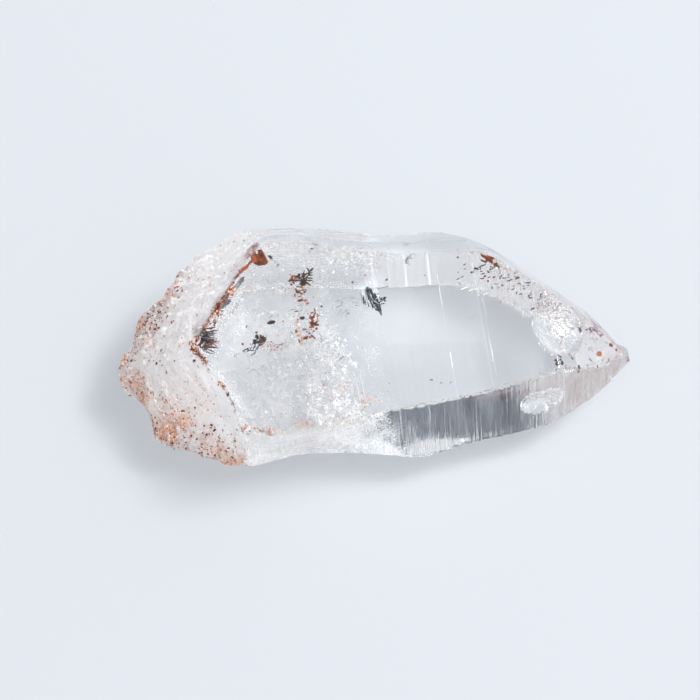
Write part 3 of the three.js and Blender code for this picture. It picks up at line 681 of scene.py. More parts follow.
def tan_share(points, edges):
    """Where a pale tan film lies: along the edges of the top face and the +Y edge of the bottom."""
    x = points[..., 0]
    dotted = np.clip(0.55 + 1.3 * rough_noise(points, 1.4, 3, 35), 0, 1)
    lower = close_to(edges["top_minus"], 0.2) * ease(x, -13, -11)
    upper = 0.5 * close_to(edges["top_plus"], 0.16) * ease(x, -9.5, -8)
    under = 0.8 * close_to(edges["bottom_plus"], 0.3) * ease(x, 2, 6)
    return dotted * np.clip(lower + upper + under, 0, 1)


def weathered(points, middle, edges, etch, matt, inset):
    """The faces after wear: bumpy and pitted on the etched root, most of all at its rims."""
    rim = close_to(np.minimum(edges["waist_plus"], edges["waist_minus"]), 2.4)
    bumps = (0.1 + 0.12 * rim) * rough_noise(points, 0.9, 4, 41) + 0.1 * rough_noise(points, 2.8, 3, 42)
    pits = np.clip(rough_noise(points, 1.7, 2, 43) - 0.25, 0, 1) * (0.25 + 0.4 * rim)
    inset = inset + etch * (0.1 + bumps + pits) + 0.03 * matt * rough_noise(points, 1.6, 4, 44)
    reach = np.linalg.norm(middle[:, None] - points, axis=-1, keepdims=True)
    return points + inward_of(points, middle) * np.minimum(inset[..., None], reach / 3)


def crushed_patch(points, sides):
    """A crushed white patch on the upper front face, with a slanted, uneven end."""
    x, z = points[..., 0], points[..., 2]
    patchy = np.clip(0.4 + 1.6 * rough_noise(points, 0.7, 3, 71), 0, 1) * (sides == UPPER_MINUS)
    leading = x + 0.3 * (z - WAIST_MINUS_Z) + 0.9 * rough_noise(points, 0.8, 3, 72)
    return patchy * ease(leading, 1.8, 0.4) * ease(x, -5.8, -3.6)


def break_open(points, middle, sides, etch):
    """Carves the chips and small breaks, and says where the faces are fresh, frosted and grainy."""
    chips = [(leaned(at), half) for at, half in CHIPS]
    whole = points.copy()
    depth = carve(points, middle, chips)
    scoop = carve(whole, middle, chips[SCOOP:SCOOP + 1])
    x, y = points[..., 0], points[..., 1]
    wave = 2 * math.pi * np.hypot(x - SCOOP_CENTRE[0], y - leaned((0, *SCOOP_CENTRE[1:]))[1]) / SCOOP_PITCH
    at_left = ease(scoop, 0.02, 0.3) * ease(SCOOP_CENTRE[0] - x, 0, SCOOP_FADE)
    fresh = ease(depth, 0.02, 0.15) * (1 - etch)
    uneven = 0.02 * rough_noise(points, 2.2, 3, 51) * fresh * (scoop < 0.02)
    moved = SCOOP_DEPTH * at_left * np.sin(wave) + uneven
    points = points + inward_of(points, middle) * moved[..., None]
    small = carve(points, middle, small_chips(points, sides, np.random.default_rng(7)))
    arcs = at_left * ease(np.sin(wave + 1), 0.2, 0.9)

    def on_chip(number):
        at, half = chips[number]
        return (np.abs(np.linalg.norm((points - at) / half, axis=-1) - 1) < 0.04) * (depth > 0.01)

    frost = np.clip(0.7 * fresh * (scoop < 0.02) + 0.4 * arcs + 0.5 * ease(small, 0.01, 0.06), 0, 1)
    grainy = {
        "broken": ease(scoop, 0.1, 0.8) * ease(points[..., 1], 0.5, -2.5),
        "leaf": (on_chip(LEAF) + 0.5 * on_chip(LEAF_BESIDE)) * (1 - 0.85 * ease(depth, 0.1, 0.22)),
        "white_chip": np.maximum(0.8 * on_chip(FRONT_CHIP), crushed_patch(points, sides)),
    }
    return points, fresh, frost, grainy


def outward_of(points, middle):
    """The way outwards at each point of the grid, and the area that the point stands for."""
    around = np.roll(points, -1, 1) - np.roll(points, 1, 1)
    outward = np.cross(np.gradient(points, axis=0), around)
    outward *= np.sign((outward * (points - middle[:, None])).sum(-1, keepdims=True))
    area = np.linalg.norm(outward, axis=-1)
    return outward / (area[..., None] + 1e-12), area


def build_crystal():
    """Adds the crystal, and returns what the pieces on it and in it need to know of its surface."""
    x, points, sides, near, middle = crystal_grid()
    edges = {name: edge_distance(sides, near, name) for name in EDGES}
    etch = etched_share(points, sides)
    matt = matt_share(points, sides) * (1 - etch)
    inset = worn_inset(x, points, sides, near)
    points = weathered(points, middle, edges, etch, matt, inset)
    points, fresh, frost, grainy = break_open(points, middle, sides, etch)
    mesh = grid_mesh("quartz_crystal", points)
    smooth_with_sharp_edges(mesh, SHARP_ANGLE)
    stria = np.broadcast_to(np.array(STRIA_SHADING)[sides], points.shape[:2]) * (1 - etch) * (1 - fresh)
    for name, values in (
        ("etch", etch), ("frost", frost), ("matt", matt), ("rust", rust_share(points, etch, edges)),
        ("tan", tan_share(points, edges)), ("stria", stria),
    ):
        store(mesh, name, values)
    halves = ("quartz_upper_half", "quartz_lower_half")
    add_piece("quartz_crystal", mesh, quartz_material(), halves)
    outward, area = outward_of(points, middle)
    surface = {"x": x, "points": points, "middle": middle, "outward": outward, "area": area}
    return {**surface, **grainy, "etch": etch, "edges": edges}


def turn_of(angles):
    """Rotation matrix for turns about X, then Y, then Z."""
    return np.array(Euler(angles).to_matrix())


def placed(piece, angles=(0, 0, 0), at=(0, 0, 0)):
    vertices, faces, shade = piece
    return vertices @ turn_of(angles).T + np.asarray(at, float), faces, shade


def plate(outline, thickness, shade=0.5):
    """A thin flat piece with bevelled rims."""
    outline = np.array(outline, float)
    count = len(outline)
    levels = ((-0.5, 0.9), (-0.3, 1), (0.3, 1), (0.5, 0.88))
    rings = [np.column_stack([outline * scale, np.full(count, level * thickness)]) for level, scale in levels]
    faces = [tuple(range(count))[::-1], tuple(range(3 * count, 4 * count))]
    for ring in range(0, 3 * count, count):
        for k in range(count):
            nxt = (k + 1) % count
            faces.append((ring + k, ring + nxt, ring + count + nxt, ring + count + k))
    return np.vstack(rings), faces, shade


def lath(length, width, thickness, rng, shade=0.5):
    """A long flat crystal with uneven ends."""
    end, edge = length / 2, width / 2
    cut = rng.uniform(0.2, 0.9, 4) * width
    outline = (
        (-end, rng.uniform(-0.3, 0.3) * width), (-end + cut[0], -edge), (end - cut[1], -edge * 0.94),
        (end, rng.uniform(-0.3, 0.3) * width), (end - cut[2], edge), (-end + cut[3], edge * 0.94),
    )
    return plate(outline, thickness, shade)


def scale_plate(radius, thickness, rng, shade=0.5, stretch=1.0):
    """A thin scale with an uneven outline."""
    sides = rng.integers(5, 9)
    angle = 2 * math.pi * (np.arange(sides) + rng.uniform(-0.25, 0.25, sides)) / sides
    reach = radius * rng.uniform(0.6, 1.1, sides)
    return plate(np.column_stack([reach * np.cos(angle) * stretch, reach * np.sin(angle)]), thickness, shade)


def thread(path, radius, shade=0.5):
    """A thin bent needle through the points of path, pointed at both ends."""
    path = np.array(path, float)
    along = np.gradient(path, axis=0)
    along /= np.linalg.norm(along, axis=1, keepdims=True) + 1e-9
    side = np.cross(along, (0.3, 0.2, 1))
    side /= np.linalg.norm(side, axis=1, keepdims=True) + 1e-9
    up = np.cross(side, along)
    count, sides = len(path), 5
    share = np.linspace(0, 1, count)
    girth = radius * np.clip(np.sin(math.pi * (0.06 + 0.88 * share)) ** 0.5, 0.25, 1)
    angle = 2 * math.pi * np.arange(sides) / sides
    ring = side[:, None] * np.cos(angle)[None, :, None] + up[:, None] * np.sin(angle)[None, :, None]
    vertices = (path[:, None] + ring * girth[:, None, None]).reshape(-1, 3)
    faces = [tuple(range(sides)), tuple(range((count - 1) * sides, count * sides))[::-1]]
    for row in range(0, (count - 1) * sides, sides):
        for k in range(sides):
            nxt = (k + 1) % sides
            faces.append((row + k, row + sides + k, row + sides + nxt, row + nxt))
    return vertices, faces, shade


def bent_thread(length, radius, bend, rng, shade=0.5):
    t = np.linspace(0, 1, 6)
    turn = np.cumsum(np.concatenate([[0], rng.normal(0, bend, 5)]))
    lift = np.cumsum(np.concatenate([[0], rng.normal(0, bend * 0.5, 5)]))
    step = length / 5
    path = np.cumsum(np.column_stack([np.cos(turn), np.sin(turn), 0.4 * np.sin(lift)]) * step, axis=0)
    return thread(path - path[0], radius, shade)


def grain(radius, rng, shade=0.5, stretch=(1, 1, 1)):
    """A small uneven lump."""
    ball = bmesh.new()
    bmesh.ops.create_icosphere(ball, subdivisions=2, radius=1)
    vertices = np.array([v.co for v in ball.verts])
    faces = [tuple(v.index for v in face.verts) for face in ball.faces]
    ball.free()
    seed = rng.uniform(0, 90)
    swell = 1 + 0.28 * value_noise(vertices * 1.7 + seed, 61)
    return vertices * swell[:, None] * radius * np.array(stretch), faces, shade


def mote(radius, rng, shade=0.5):
    """A very small eight-sided speck."""
    reach = np.diag(radius * rng.uniform(0.5, 1.3, 3))
    faces = [(0, 1, 2), (1, 3, 2), (3, 4, 2), (4, 0, 2), (1, 0, 5), (3, 1, 5), (4, 3, 5), (0, 4, 5)]
    return np.vstack([reach, -reach]), faces, shade


def stretched(piece, by):
    vertices, faces, shade = piece
    return vertices * by, faces, shade


def inside_out(piece):
    """A closed piece with its faces turned, so that in quartz it is a hollow."""
    vertices, faces, shade = piece
    return vertices, [face[::-1] for face in faces], shade


def drawn_thread(rng, lengths, radii, bend, shades):
    """A bent needle with its length, radius and shade drawn between the two given."""
    length, radius, shade = (rng.uniform(*limits) for limits in (lengths, radii, shades))
    return bent_thread(length, radius, bend, rng, shade)


def flake(radius, thickness, rng, shades, stretches):
    """A thin scale with its shade and stretch drawn between the two given."""
    shade, stretch = (rng.uniform(*limits) for limits in (shades, stretches))
    return scale_plate(radius, thickness, rng, shade, stretch)


def long_grain(row, rng, shade=0.0):
    """A grain from a row of x, y, z, length, width and turn in degrees."""
    x, y, z, length, width, turn = row
    piece = grain(0.5, rng, shade, (length, width, min(width, 0.2)))
    return placed(piece, (0.2, 0, math.radians(turn)), (x, y, z))


def lying_on(piece, outward, at, turn=0.0):
    """Turns a piece so that its Z points outwards, and moves it to a place on the surface."""
    side = np.cross((0.3, 0.9, 0.2), outward)
    side /= np.linalg.norm(side)
    axes = np.stack([side, np.cross(outward, side), outward], 1)
    vertices, faces, shade = placed(piece, (0, 0, turn))
    return vertices @ axes.T + at, faces, shade


def spots_on(crystal, weight, count, rng):
    """Random places on the surface, more of them where weight is high, with the way outwards at each."""
    weight = (weight * crystal["area"]).ravel()
    chosen = rng.choice(weight.size, count, p=weight / weight.sum())
    rows, columns = np.divmod(chosen, crystal["points"].shape[1])
    points, at = crystal["points"], crystal["points"][rows, columns]
    beside = points[np.minimum(rows + 1, len(points) - 1), columns] - at
    round_it = points[rows, (columns + 1) % points.shape[1]] - at
    at = at + rng.uniform(0, 1, (count, 1)) * beside + rng.uniform(0, 1, (count, 1)) * round_it
    return zip(at, crystal["outward"][rows, columns])


def depth_share(crystal, places):
    """How far out each place is in its section: 0 in the middle, 1 at the surface."""
    rows = np.clip(np.searchsorted(crystal["x"], places[:, 0]), 0, len(crystal["x"]) - 1)
    middle = crystal["middle"][rows]
    ring, away = crystal["points"][rows] - middle[:, None], places - middle
    around, angle = np.arctan2(ring[..., 2], ring[..., 1]), np.arctan2(away[:, 2], away[:, 1])
    nearest = (-np.cos(around - angle[:, None])).argmin(1)
    reach = np.linalg.norm(ring[np.arange(len(rows)), nearest, 1:], axis=-1)
    return np.linalg.norm(away[:, 1:], axis=-1) / reach


def inside(crystal, places, most):
    """The places whose depth share is below most."""
    return places[depth_share(crystal, places) < most]


def gathered(name, pieces):
    """One mesh of many small pieces, with the shade of each kept per point."""
    vertices, faces, shades, start = [], [], [], 0
    for points, polygons, shade in pieces:
        vertices.append(points)
        faces += [tuple(start + i for i in polygon) for polygon in polygons]
        shades.append(np.full(len(points), shade))
        start += len(points)
    mesh = bpy.data.meshes.new(name)
    mesh.from_pydata((np.vstack(vertices) * MM).tolist(), [], faces)
    mesh.update()
    smooth_with_sharp_edges(mesh, 35)
    store(mesh, "shade", np.concatenate(shades))
    return mesh


def add_group(name, pieces, look, replaced=()):
    """Adds one piece of the model that is made of many small ones."""
    material, slot = look
    add_piece(name, gathered(name, pieces), material, replaced)


# Minerals: slot, dark and light colour, roughness, and how far the surface shines like metal
MINERALS = {
    "kyanite": ("kyanite", (0.003, 0.008, 0.014), (0.13, 0.19, 0.26), 0.3, 0.0),
    "iron_oxide": ("iron_oxide", (0.006, 0.006, 0.007), (0.14, 0.05, 0.03), 0.35, 0.1),
    "rust": ("rust", (0.045, 0.004, 0.002), (0.5, 0.115, 0.025), 0.5, 0.0),
    "grey_mica": ("grey_mica", (0.06, 0.07, 0.085), (0.52, 0.5, 0.52), 0.35, 0.15),
    "purple_flake": ("purple_flake", (0.07, 0.045, 0.08), (0.42, 0.2, 0.26), 0.3, 0.0),
    "milky_quartz": ("quartz", (0.84, 0.83, 0.82), (0.96, 0.95, 0.94), 0.6, 0.0),
    "orange_film": ("rust", (0.38, 0.12, 0.05), (0.84, 0.54, 0.39), 0.6, 0.0),
}
MINERAL_GRAIN = (6, 6, 6)
KYANITE_STREAKS = (2, 9, 9)
# The minerals lie in quartz, so their own gloss is weak
MINERAL_IOR = 1.15


def mineral(name, dark, light, roughness, sheen):
    """A mineral whose colour runs from dark to light by the shade of each piece and by its grain."""
    g = Graph(bpy.data.materials.new(name))
    grainy = g.noise(MINERAL_GRAIN, 3.0)
    share = g.maths("MULTIPLY_ADD", g.attribute("shade"), 0.7, g.ranged(grainy, 0.3, 0.7, -0.05, 0.45))
    if name == "kyanite":
        streaks = g.ranged(g.noise(KYANITE_STREAKS, 2.0), 0.45, 0.7)
        share = g.maths("MULTIPLY_ADD", streaks, 0.35, share)
    g.put(g.shader.inputs["Base Color"], g.mixed(share, (*dark, 1), (*light, 1)))
    g.put(g.shader.inputs["Roughness"], g.ranged(grainy, 0.3, 0.7, roughness * 0.7, roughness * 1.3))
    g.shader.inputs["Metallic"].default_value = sheen
    g.shader.inputs["IOR"].default_value = MINERAL_IOR
    links = {"Strength": 0.6, "Distance": 0.03 * MM, "Height": grainy}
    g.put(g.shader.inputs["Normal"], g.add("ShaderNodeBump", links).outputs["Normal"])
    return g.owner


def clear_hollow():
    """The wall of a hollow in the quartz."""
    g = Graph(bpy.data.materials.new("quartz_hollow"))
    g.shader.inputs["Base Color"].default_value = PLAIN
    g.put(g.shader.inputs["Roughness"], g.ranged(g.noise((3, 3, 3), 2.0), 0.4, 0.7, 0.0, 0.12))
    g.shader.inputs["IOR"].default_value = QUARTZ_IOR
    g.shader.inputs["Transmission Weight"].default_value = 1
    return g.owner


def build_looks():
    """Every look of the small pieces: its material and the slot that goes with it."""
    looks = {name: (mineral(name, *values), slot) for name, (slot, *values) in MINERALS.items()}
    return {**looks, "hollow": (clear_hollow(), "quartz")}


# The sheet that parts the solids: it falls towards the tip and swells up near the root
SHEET_FALL, SWELL, SWELL_X, SWELL_REACH = 0.02, 3, -13, 6.5


def parting_height(x):
    """Height in the upright crystal of the sheet that the large inclusions lie on."""
    return TIP_Z - SHEET_FALL * x + SWELL * math.exp(-(((x - SWELL_X) / SWELL_REACH) ** 2))


def on_sheet(x, y, pieces, rise=0.0):
    """Moves pieces made about the origin to their place on the sheet, and leans them with the crystal."""
    at = leaned((x, y, parting_height(x) + rise))
    return [placed(piece, (LEAN, 0, 0), at) for piece in pieces]


GOLDEN_ANGLE = 2.4
# Places on the sheet of the kyanite blades and of the dark sheaf
KYANITE_AT, SHEAF_AT = (0.6, 3), (-15.3, 1.35)

# Blades of kyanite: length, width, turn in degrees, place and shade
KYANITE_BLADES = (
    (2.5, 0.4, -79, (0.28, 0.0, 0), -0.25), (2.0, 0.22, -76, (0.66, -0.3, 0.12), -0.1),
    (2.1, 0.15, -80, (-0.06, 0.2, 0.05), -0.1), (1.8, 0.14, -82, (-0.34, 0.25, 0), -0.1),
    (1.5, 0.1, -84, (-0.62, 0.35, 0.05), 0), (1.2, 0.05, -84, (-0.84, 0.4, 0.05), 0.3),
    (1.2, 0.26, 30, (1.0, -0.2, 0.14), -0.1), (0.8, 0.18, -48, (1.15, -0.05, 0.02), 0.1),
    (0.9, 0.26, -75, (0.7, -1.2, 0.05), 0.55), (1.1, 0.06, 4, (1.4, 1.05, 0.1), 0.6),
    (0.7, 0.16, -62, (0.05, 1.05, 0), -0.1), (0.7, 0.12, 20, (0.95, -0.6, 0.1), 0),
    (0.8, 0.08, 12, (0.55, 0.45, 0.2), 0.2), (0.9, 0.1, -20, (0.3, -0.5, 0.2), 0.3),
)


def kyanite_blades(rng):
    blades = []
    for length, width, turn, at, shade in KYANITE_BLADES:
        piece = lath(length, width, 0.1, rng, shade)
        tilt = (rng.uniform(-0.12, 0.12), rng.uniform(-0.1, 0.1), math.radians(turn))
        blades.append(placed(piece, tilt, at))
    return blades


def kyanite_needles(rng):
    """Needles that slant one way, with a few short ones across."""
    needles = []
    for _ in range(11):
        at = rng.normal(0, (0.55, 0.28, 0.12))
        piece = drawn_thread(rng, (0.35, 0.9), (0.035, 0.07), 0.25, (0, 0.25))
        needles.append(placed(piece, (0, 0, rng.uniform(0.2, 1.2)), at))
    for _ in range(6):
        piece = bent_thread(rng.uniform(0.2, 0.4), 0.035, 0.2, rng, 0.1)
        tilt = (0, 0, rng.uniform(-1.2, 0.2))
        needles.append(placed(piece, tilt, rng.normal(0, (0.6, 0.3, 0.12))))
    return needles


def dark_spider(rng):
    """Blades that spread from one place, with grains in the middle and thicker blades at one side."""
    spider = []
    for k in range(17):
        piece = drawn_thread(rng, (0.5, 1.15), (0.045, 0.095), 0.5, (0, 0.35))
        at = (*(0.12 * rng.normal(size=2)), 0.2 * rng.normal())
        spider.append(placed(piece, (0, 0, GOLDEN_ANGLE * k), at))
    for _ in range(8):
        piece = grain(rng.uniform(0.1, 0.2), rng, rng.uniform(0, 0.5))
        spider.append(placed(piece, at=rng.normal(0, (0.3, 0.35, 0.12))))
    for k in range(5):
        piece = bent_thread(rng.uniform(0.4, 0.7), 0.07, 0.4, rng, 0.1)
        spider.append(placed(piece, (0, 0, 0.6 + 0.2 * k), (0.45 + 0.1 * k, 0.5 + 0.05 * k, 0)))
    return spider


def dark_sheaf(rng):
    """Bristles that grow from a short line, with grains along it."""
    bristles = []
    for _ in range(60):
        piece = drawn_thread(rng, (0.6, 1.35), (0.025, 0.055), 0.12, (0, 0.3))
        start = (0.05 + 0.1 * rng.normal(), rng.uniform(-0.9, 0.9), 0.18 * rng.normal())
        bristles.append(placed(piece, (0, 0, rng.uniform(-1.05, 0.35)), start))
    for _ in range(16):
        piece = grain(rng.uniform(0.06, 0.17), rng, rng.uniform(0.1, 0.8))
        at = (-0.1 + 0.16 * rng.normal(), rng.uniform(-0.9, 0.9), 0.12 * rng.normal())
        bristles.append(placed(piece, at=at))
    return bristles


RUST_OUTLINE = (
    (-0.72, 0.38), (-0.6, -0.3), (-0.2, -0.62), (0.42, -0.66), (0.78, -0.5), (0.66, 0.0), (0.55, 0.5),
    (0.42, 0.86), (0.08, 0.84), (0.0, 0.55), (-0.3, 0.62),
)
# Thin scales on the rust plate: place, radius and shade
RUST_SCALES = (
    ((0.45, 0.35), 0.2, -0.4), ((0.1, -0.4), 0.16, -0.3), ((-0.35, -0.15), 0.12, 1.2),
    ((0.3, -0.1), 0.13, 1.0),
)
RUST_TAIL = (
    (-0.35, -0.1, 0), (-0.8, -0.25, 0), (-1.05, -0.6, 0), (-1.5, -0.85, 0), (-1.9, -1.15, 0), (-2.2, -1.3, 0),
)
SECOND_STRAND = (0.05, 0.16, 0.03)


def rust_plate(rng):
    """A thick plate with smaller ones on it, and a tail of two strands."""
    red = [placed(plate(RUST_OUTLINE, 0.26, 0.2), (0.25, 0.15, 0.1), (0.15, 0, 0))]
    red.append(placed(scale_plate(0.42, 0.2, rng, 0.65), (0.3, 0.3, 0.4), (-0.2, 0.15, 0.14)))
    red.append(placed(scale_plate(0.36, 0.18, rng, 0.2), (0.1, -0.2, 1.1), (0.32, 0.35, 0.12)))
    for at, radius, shade in RUST_SCALES:
        piece = scale_plate(radius, 0.08, rng, shade, 1.6)
        red.append(placed(piece, (0.25, 0.15, rng.uniform(0, 3)), (*at, 0.22)))
    red.append(thread(RUST_TAIL, 0.13, 0.55))
    red.append(thread(np.array(RUST_TAIL) + SECOND_STRAND, 0.08, 0.8))
    return red


# Grey laths: length, width, thickness, shade, tilt and place
GREY_LATHS = (
    (1.9, 0.42, 0.2, 0.35, (0.3, 0.1, 0.82), (0, 0, 0)),
    (1.1, 0.3, 0.16, 0.85, (0.5, 0, 0.9), (-0.3, -0.3, 0.06)),
    (0.8, 0.2, 0.12, 0.1, (-0.3, 0, 0.7), (0.35, 0.4, 0.05)),
)
# Plates of the grey stack: place, turn and length
GREY_STACK = (
    ((0.1, 0.1), 0.9, 1.0), ((0.4, 0.45), 1.1, 0.9), ((-0.1, -0.15), 0.3, 1.1), ((0.55, 0.2), 0.7, 0.7),
    ((0.2, 0.5), 1.4, 0.6),
)


def grey_laths(rng):
    laths = []
    for length, width, thickness, shade, tilt, at in GREY_LATHS:
        laths.append(placed(lath(length, width, thickness, rng, shade), tilt, at))
    return laths


def grey_stack(rng):
    stack = []
    for at, turn, length in GREY_STACK:
        piece = lath(length, 0.34, 0.12, rng, rng.uniform(0, 0.5))
        tilt = (0.4, rng.uniform(-0.3, 0.3), turn)
        stack.append(placed(piece, tilt, (*at, 0.1 * rng.normal())))
    return stack


def mixed_flakes(rng):
    """Dark flakes, every third one red, with a few bent blades."""
    mixed = []
    for k in range(15):
        radius = rng.uniform(0.12, 0.3)
        shade = rng.uniform(0, 0.45) if k % 3 else 0.95
        piece = scale_plate(radius, 0.1, rng, shade)
        mixed.append(placed(piece, rng.uniform(-0.7, 0.7, 3), rng.normal(0, (0.32, 0.24, 0.08))))
    for _ in range(5):
        piece = bent_thread(rng.uniform(0.3, 0.55), 0.05, 0.4, rng, 0.1)
        mixed.append(placed(piece, (0, 0, rng.uniform(0, 6)), rng.normal(0, (0.25, 0.2, 0.05))))
    return mixed


# The rust flakes keep within these corners of a box about their place
RUST_LOW, RUST_HIGH = (-0.6, -1.1, -0.3), (0.7, 1.0, 0.3)


def rust_flakes(rng):
    """Orange flakes strewn along a slanting line."""
    orange = []
    for _ in range(34):
        at = np.array((0.5, 0.55, 0)) * rng.normal(0, 0.75) + rng.normal(0, (0.22, 0.45, 0.12))
        piece = flake(0.06 + 0.2 * rng.uniform() ** 2, 0.06, rng, (-0.1, 1.1), (1, 2.4))
        orange.append(placed(piece, rng.uniform(-1, 1, 3), np.clip(at, RUST_LOW, RUST_HIGH)))
    return orange


def red_flakes_beside(rng):
    """The groups of small red flakes, already in their places."""
    beside = []
    for x, y, spread, count, size in RED_GROUPS:
        for _ in range(2 * count):
            piece = flake(size * rng.uniform(0.25, 0.8), 0.05, rng, (-0.2, 1), (1, 2.6))
            at = (*(1.1 * spread * rng.normal(size=2)), 0.12 * rng.normal())
            beside += on_sheet(x, y, [placed(piece, rng.uniform(-1, 1, 3), at)])
    return beside


def sheaf_plates(rng):
    plates = []
    for _ in range(14):
        length, width = rng.uniform(0.3, 0.7), rng.uniform(0.08, 0.22)
        piece = lath(length, width, 0.05, rng, rng.uniform(-0.1, 0.9))
        at = (0.45 + 0.2 * rng.normal(), 0.45 * rng.normal(), 0.1 * rng.normal())
        plates.append(placed(piece, (rng.uniform(-0.8, 0.8), 0.3, rng.uniform(-1, 0.3)), at))
    return plates


def grey_tuft(rng):
    tuft = []
    for k in range(13):
        piece = drawn_thread(rng, (0.25, 0.55), (0.02, 0.045), 0.25, (0, 0.3))
        at = (0.1 * rng.normal(), 0.22 * rng.normal(), 0.05 * rng.normal())
        tuft.append(placed(piece, (0, 0, GOLDEN_ANGLE * k), at))
    return tuft


# Laths of the red wedge: x, y, length, width and shade
WEDGE_LATHS = (
    (-0.5, 0.55, 0.95, 0.26, 0.5), (0.15, -0.15, 1.5, 0.26, 0.4), (-0.15, 0.2, 1.0, 0.16, 1.3),
    (0.5, -0.4, 0.9, 0.16, 1.3), (-0.65, 0.15, 0.5, 0.15, 0.2), (0.45, 0.05, 0.8, 0.14, 0.9),
    (0.1, 0.3, 0.6, 0.1, 0.5),
)


def red_wedge(rng):
    wedge = []
    for x, y, length, width, shade in WEDGE_LATHS:
        piece = lath(length, width, 0.12, rng, shade)
        tilt = (0.3, rng.uniform(-0.3, 0.3), -0.75 + 0.12 * rng.normal())
        wedge.append(placed(piece, tilt, (x, y, 0.05 * rng.normal())))
    return wedge


def bead_row(rng):
    """Separate dark beads, each a short uneven step past the last."""
    beads, at = [], np.zeros(3)
    for _ in range(9):
        piece = grain(rng.uniform(0.05, 0.13), rng, rng.uniform(0, 0.2), (1.3, 1, 0.8))
        beads.append(placed(piece, (0, 0, 0.6), at))
        step, way = 0.24 * rng.uniform(0.7, 1.3), 0.5 + 0.3 * rng.normal()
        at = at + (step * math.cos(way), step * math.sin(way), 0.02 * rng.normal())
    return beads


# Crescents beside the purple lens: x, y, size and turn
CRESCENTS = ((0.2, 0.5, 0.3, -0.5), (0.75, -0.05, 0.24, 0.2), (-0.3, -0.3, 0.2, -0.8), (1.1, 0.15, 0.2, 0.9))


def purple_lens(rng):
    """A lens with a light scale and a dark thread on it, and crescents beside."""
    lens = [placed(grain(0.42, rng, 0.3, (1.35, 0.85, 0.4)), (0.3, 0, -0.6))]
    lens.append(placed(scale_plate(0.3, 0.1, rng, 0.9), (0.2, 0.3, 0), (0.35, -0.2, 0.12)))
    lens.append(placed(bent_thread(0.7, 0.05, 0.3, rng, 0.0), (0, 0, -0.7), (-0.35, 0.25, 0.15)))
    for x, y, size, turn in CRESCENTS:
        piece = grain(size, rng, rng.uniform(-0.1, 0.9), (1.5, 0.4, 0.4))
        lens.append(placed(piece, (0.2, 0, turn), (x, y, 0.05)))
    return lens


def orange_pair(rng):
    large = placed(scale_plate(0.4, 0.16, rng, 1.0), (0.3, 0.2, 0))
    small = placed(scale_plate(0.2, 0.12, rng, 0.6), (0, 0.3, 1), (0.18, 0.1, 0.08))
    return [large, small]


# Inclusions: name, maker, place on the sheet, look, and the node that the piece replaces, if any
INCLUSIONS = (
    ("kyanite_blades", kyanite_blades, KYANITE_AT, "kyanite", "kyanite_blade_cluster"),
    ("kyanite_needle_group", kyanite_needles, (-11.3, -0.8), "kyanite", "kyanite_needles"),
    ("dark_spider_cluster", dark_spider, (-5.4, 5.8), "iron_oxide", "dark_rosette"),
    ("dark_bristle_sheaf", dark_sheaf, SHEAF_AT, "iron_oxide", "dark_sheaf"),
    ("rust_plate_with_tail", rust_plate, (-9.4, 8.1), "rust", "rust_plate"),
    ("grey_lath_group", grey_laths, (-11.5, 5.8), "grey_mica", "grey_lath"),
    ("grey_plate_group", grey_stack, (-13.2, 4), "grey_mica", "grey_plate_stack"),
    ("mixed_flakes", mixed_flakes, (-10.3, 0.4), "iron_oxide", "mixed_flake_cluster"),
    ("rust_flakes", rust_flakes, (-5.3, 1.2), "rust", "rust_flake_group"),
    ("red_flakes_beside", red_flakes_beside, None, "rust", None),
    ("grey_plates_in_sheaf", sheaf_plates, SHEAF_AT, "grey_mica", None),
    ("grey_tuft", grey_tuft, (4.7, 6.4), "grey_mica", "grey_spray"),
    ("red_wedge_flake", red_wedge, (12.4, 5.2), "rust", "red_wedge"),
    ("dark_bead_row", bead_row, (10.5, 4.4), "iron_oxide", "dark_bead_chain"),
    ("purple_lens_flake", purple_lens, (20.3, -2.7), "purple_flake", "purple_lens"),
    ("orange_flake_pair", orange_pair, (20.5, -5), "rust", "orange_flake"),
)


def build_inclusions(looks):
    rng = np.random.default_rng(11)
    for name, make, place, look, node in INCLUSIONS:
        pieces = make(rng)
        if place:
            pieces = on_sheet(*place, pieces)
        add_group(name, pieces, looks[look], (node,) if node else ())


def build_films(looks):
    """Patches of pale orange film and of grey feathers on the cracks inside."""
    rng = np.random.default_rng(37)
    scales = []
    for middle, spread, count, size in FILM_PATCHES:
        for at in rng.normal(middle, spread, (count, 3)):
            piece = flake(size * rng.uniform(0.3, 1), 0.03, rng, (0.2, 1), (1, 2.2))
            scales.append(placed(piece, rng.normal(0, (0.25, 0.25, 1.5)), at))
    add_group("orange_film_patches", scales, looks["orange_film"])
    feathers = []
    for middle, spread, count in FEATHERS:
        for at in rng.normal(middle, spread, (count, 3)):
            piece = drawn_thread(rng, (0.25, 0.8), (0.012, 0.03), 0.25, (0, 0.6))
            feathers.append(placed(piece, (0, 0, rng.normal(0.5, 0.4)), at))
    add_group("grey_feathers", feathers, looks["grey_mica"])


def crushed_gaps(crystal, rng):
    """Thin gaps in the crushed places."""
    gaps = []
    for middle, spread, count in CRUSHED:
        for at in inside(crystal, rng.normal(middle, spread, (count, 3)), 0.88):
            radius = rng.uniform(*CRUSHED_SIZE) * rng.uniform(0.5, 1)
            piece = scale_plate(radius, 0.03, rng, stretch=rng.uniform(1, 2.2))
            gaps.append(inside_out(placed(piece, rng.normal(0, (0.5, 0.5, 1.2)), at)))
    return gaps


def tiny_cavities(crystal, rng):
    """Very small cavities in and round the crushed places."""
    cavities = []
    for middle, spread, count in CRUSHED:
        for at in inside(crystal, rng.normal(middle, np.array(spread) * 1.2, (count, 3)), 0.92):
            piece = mote(rng.uniform(0.03, 0.08), rng)
            cavities.append(inside_out(placed(piece, rng.uniform(0, 3, 3), at)))
    return cavities


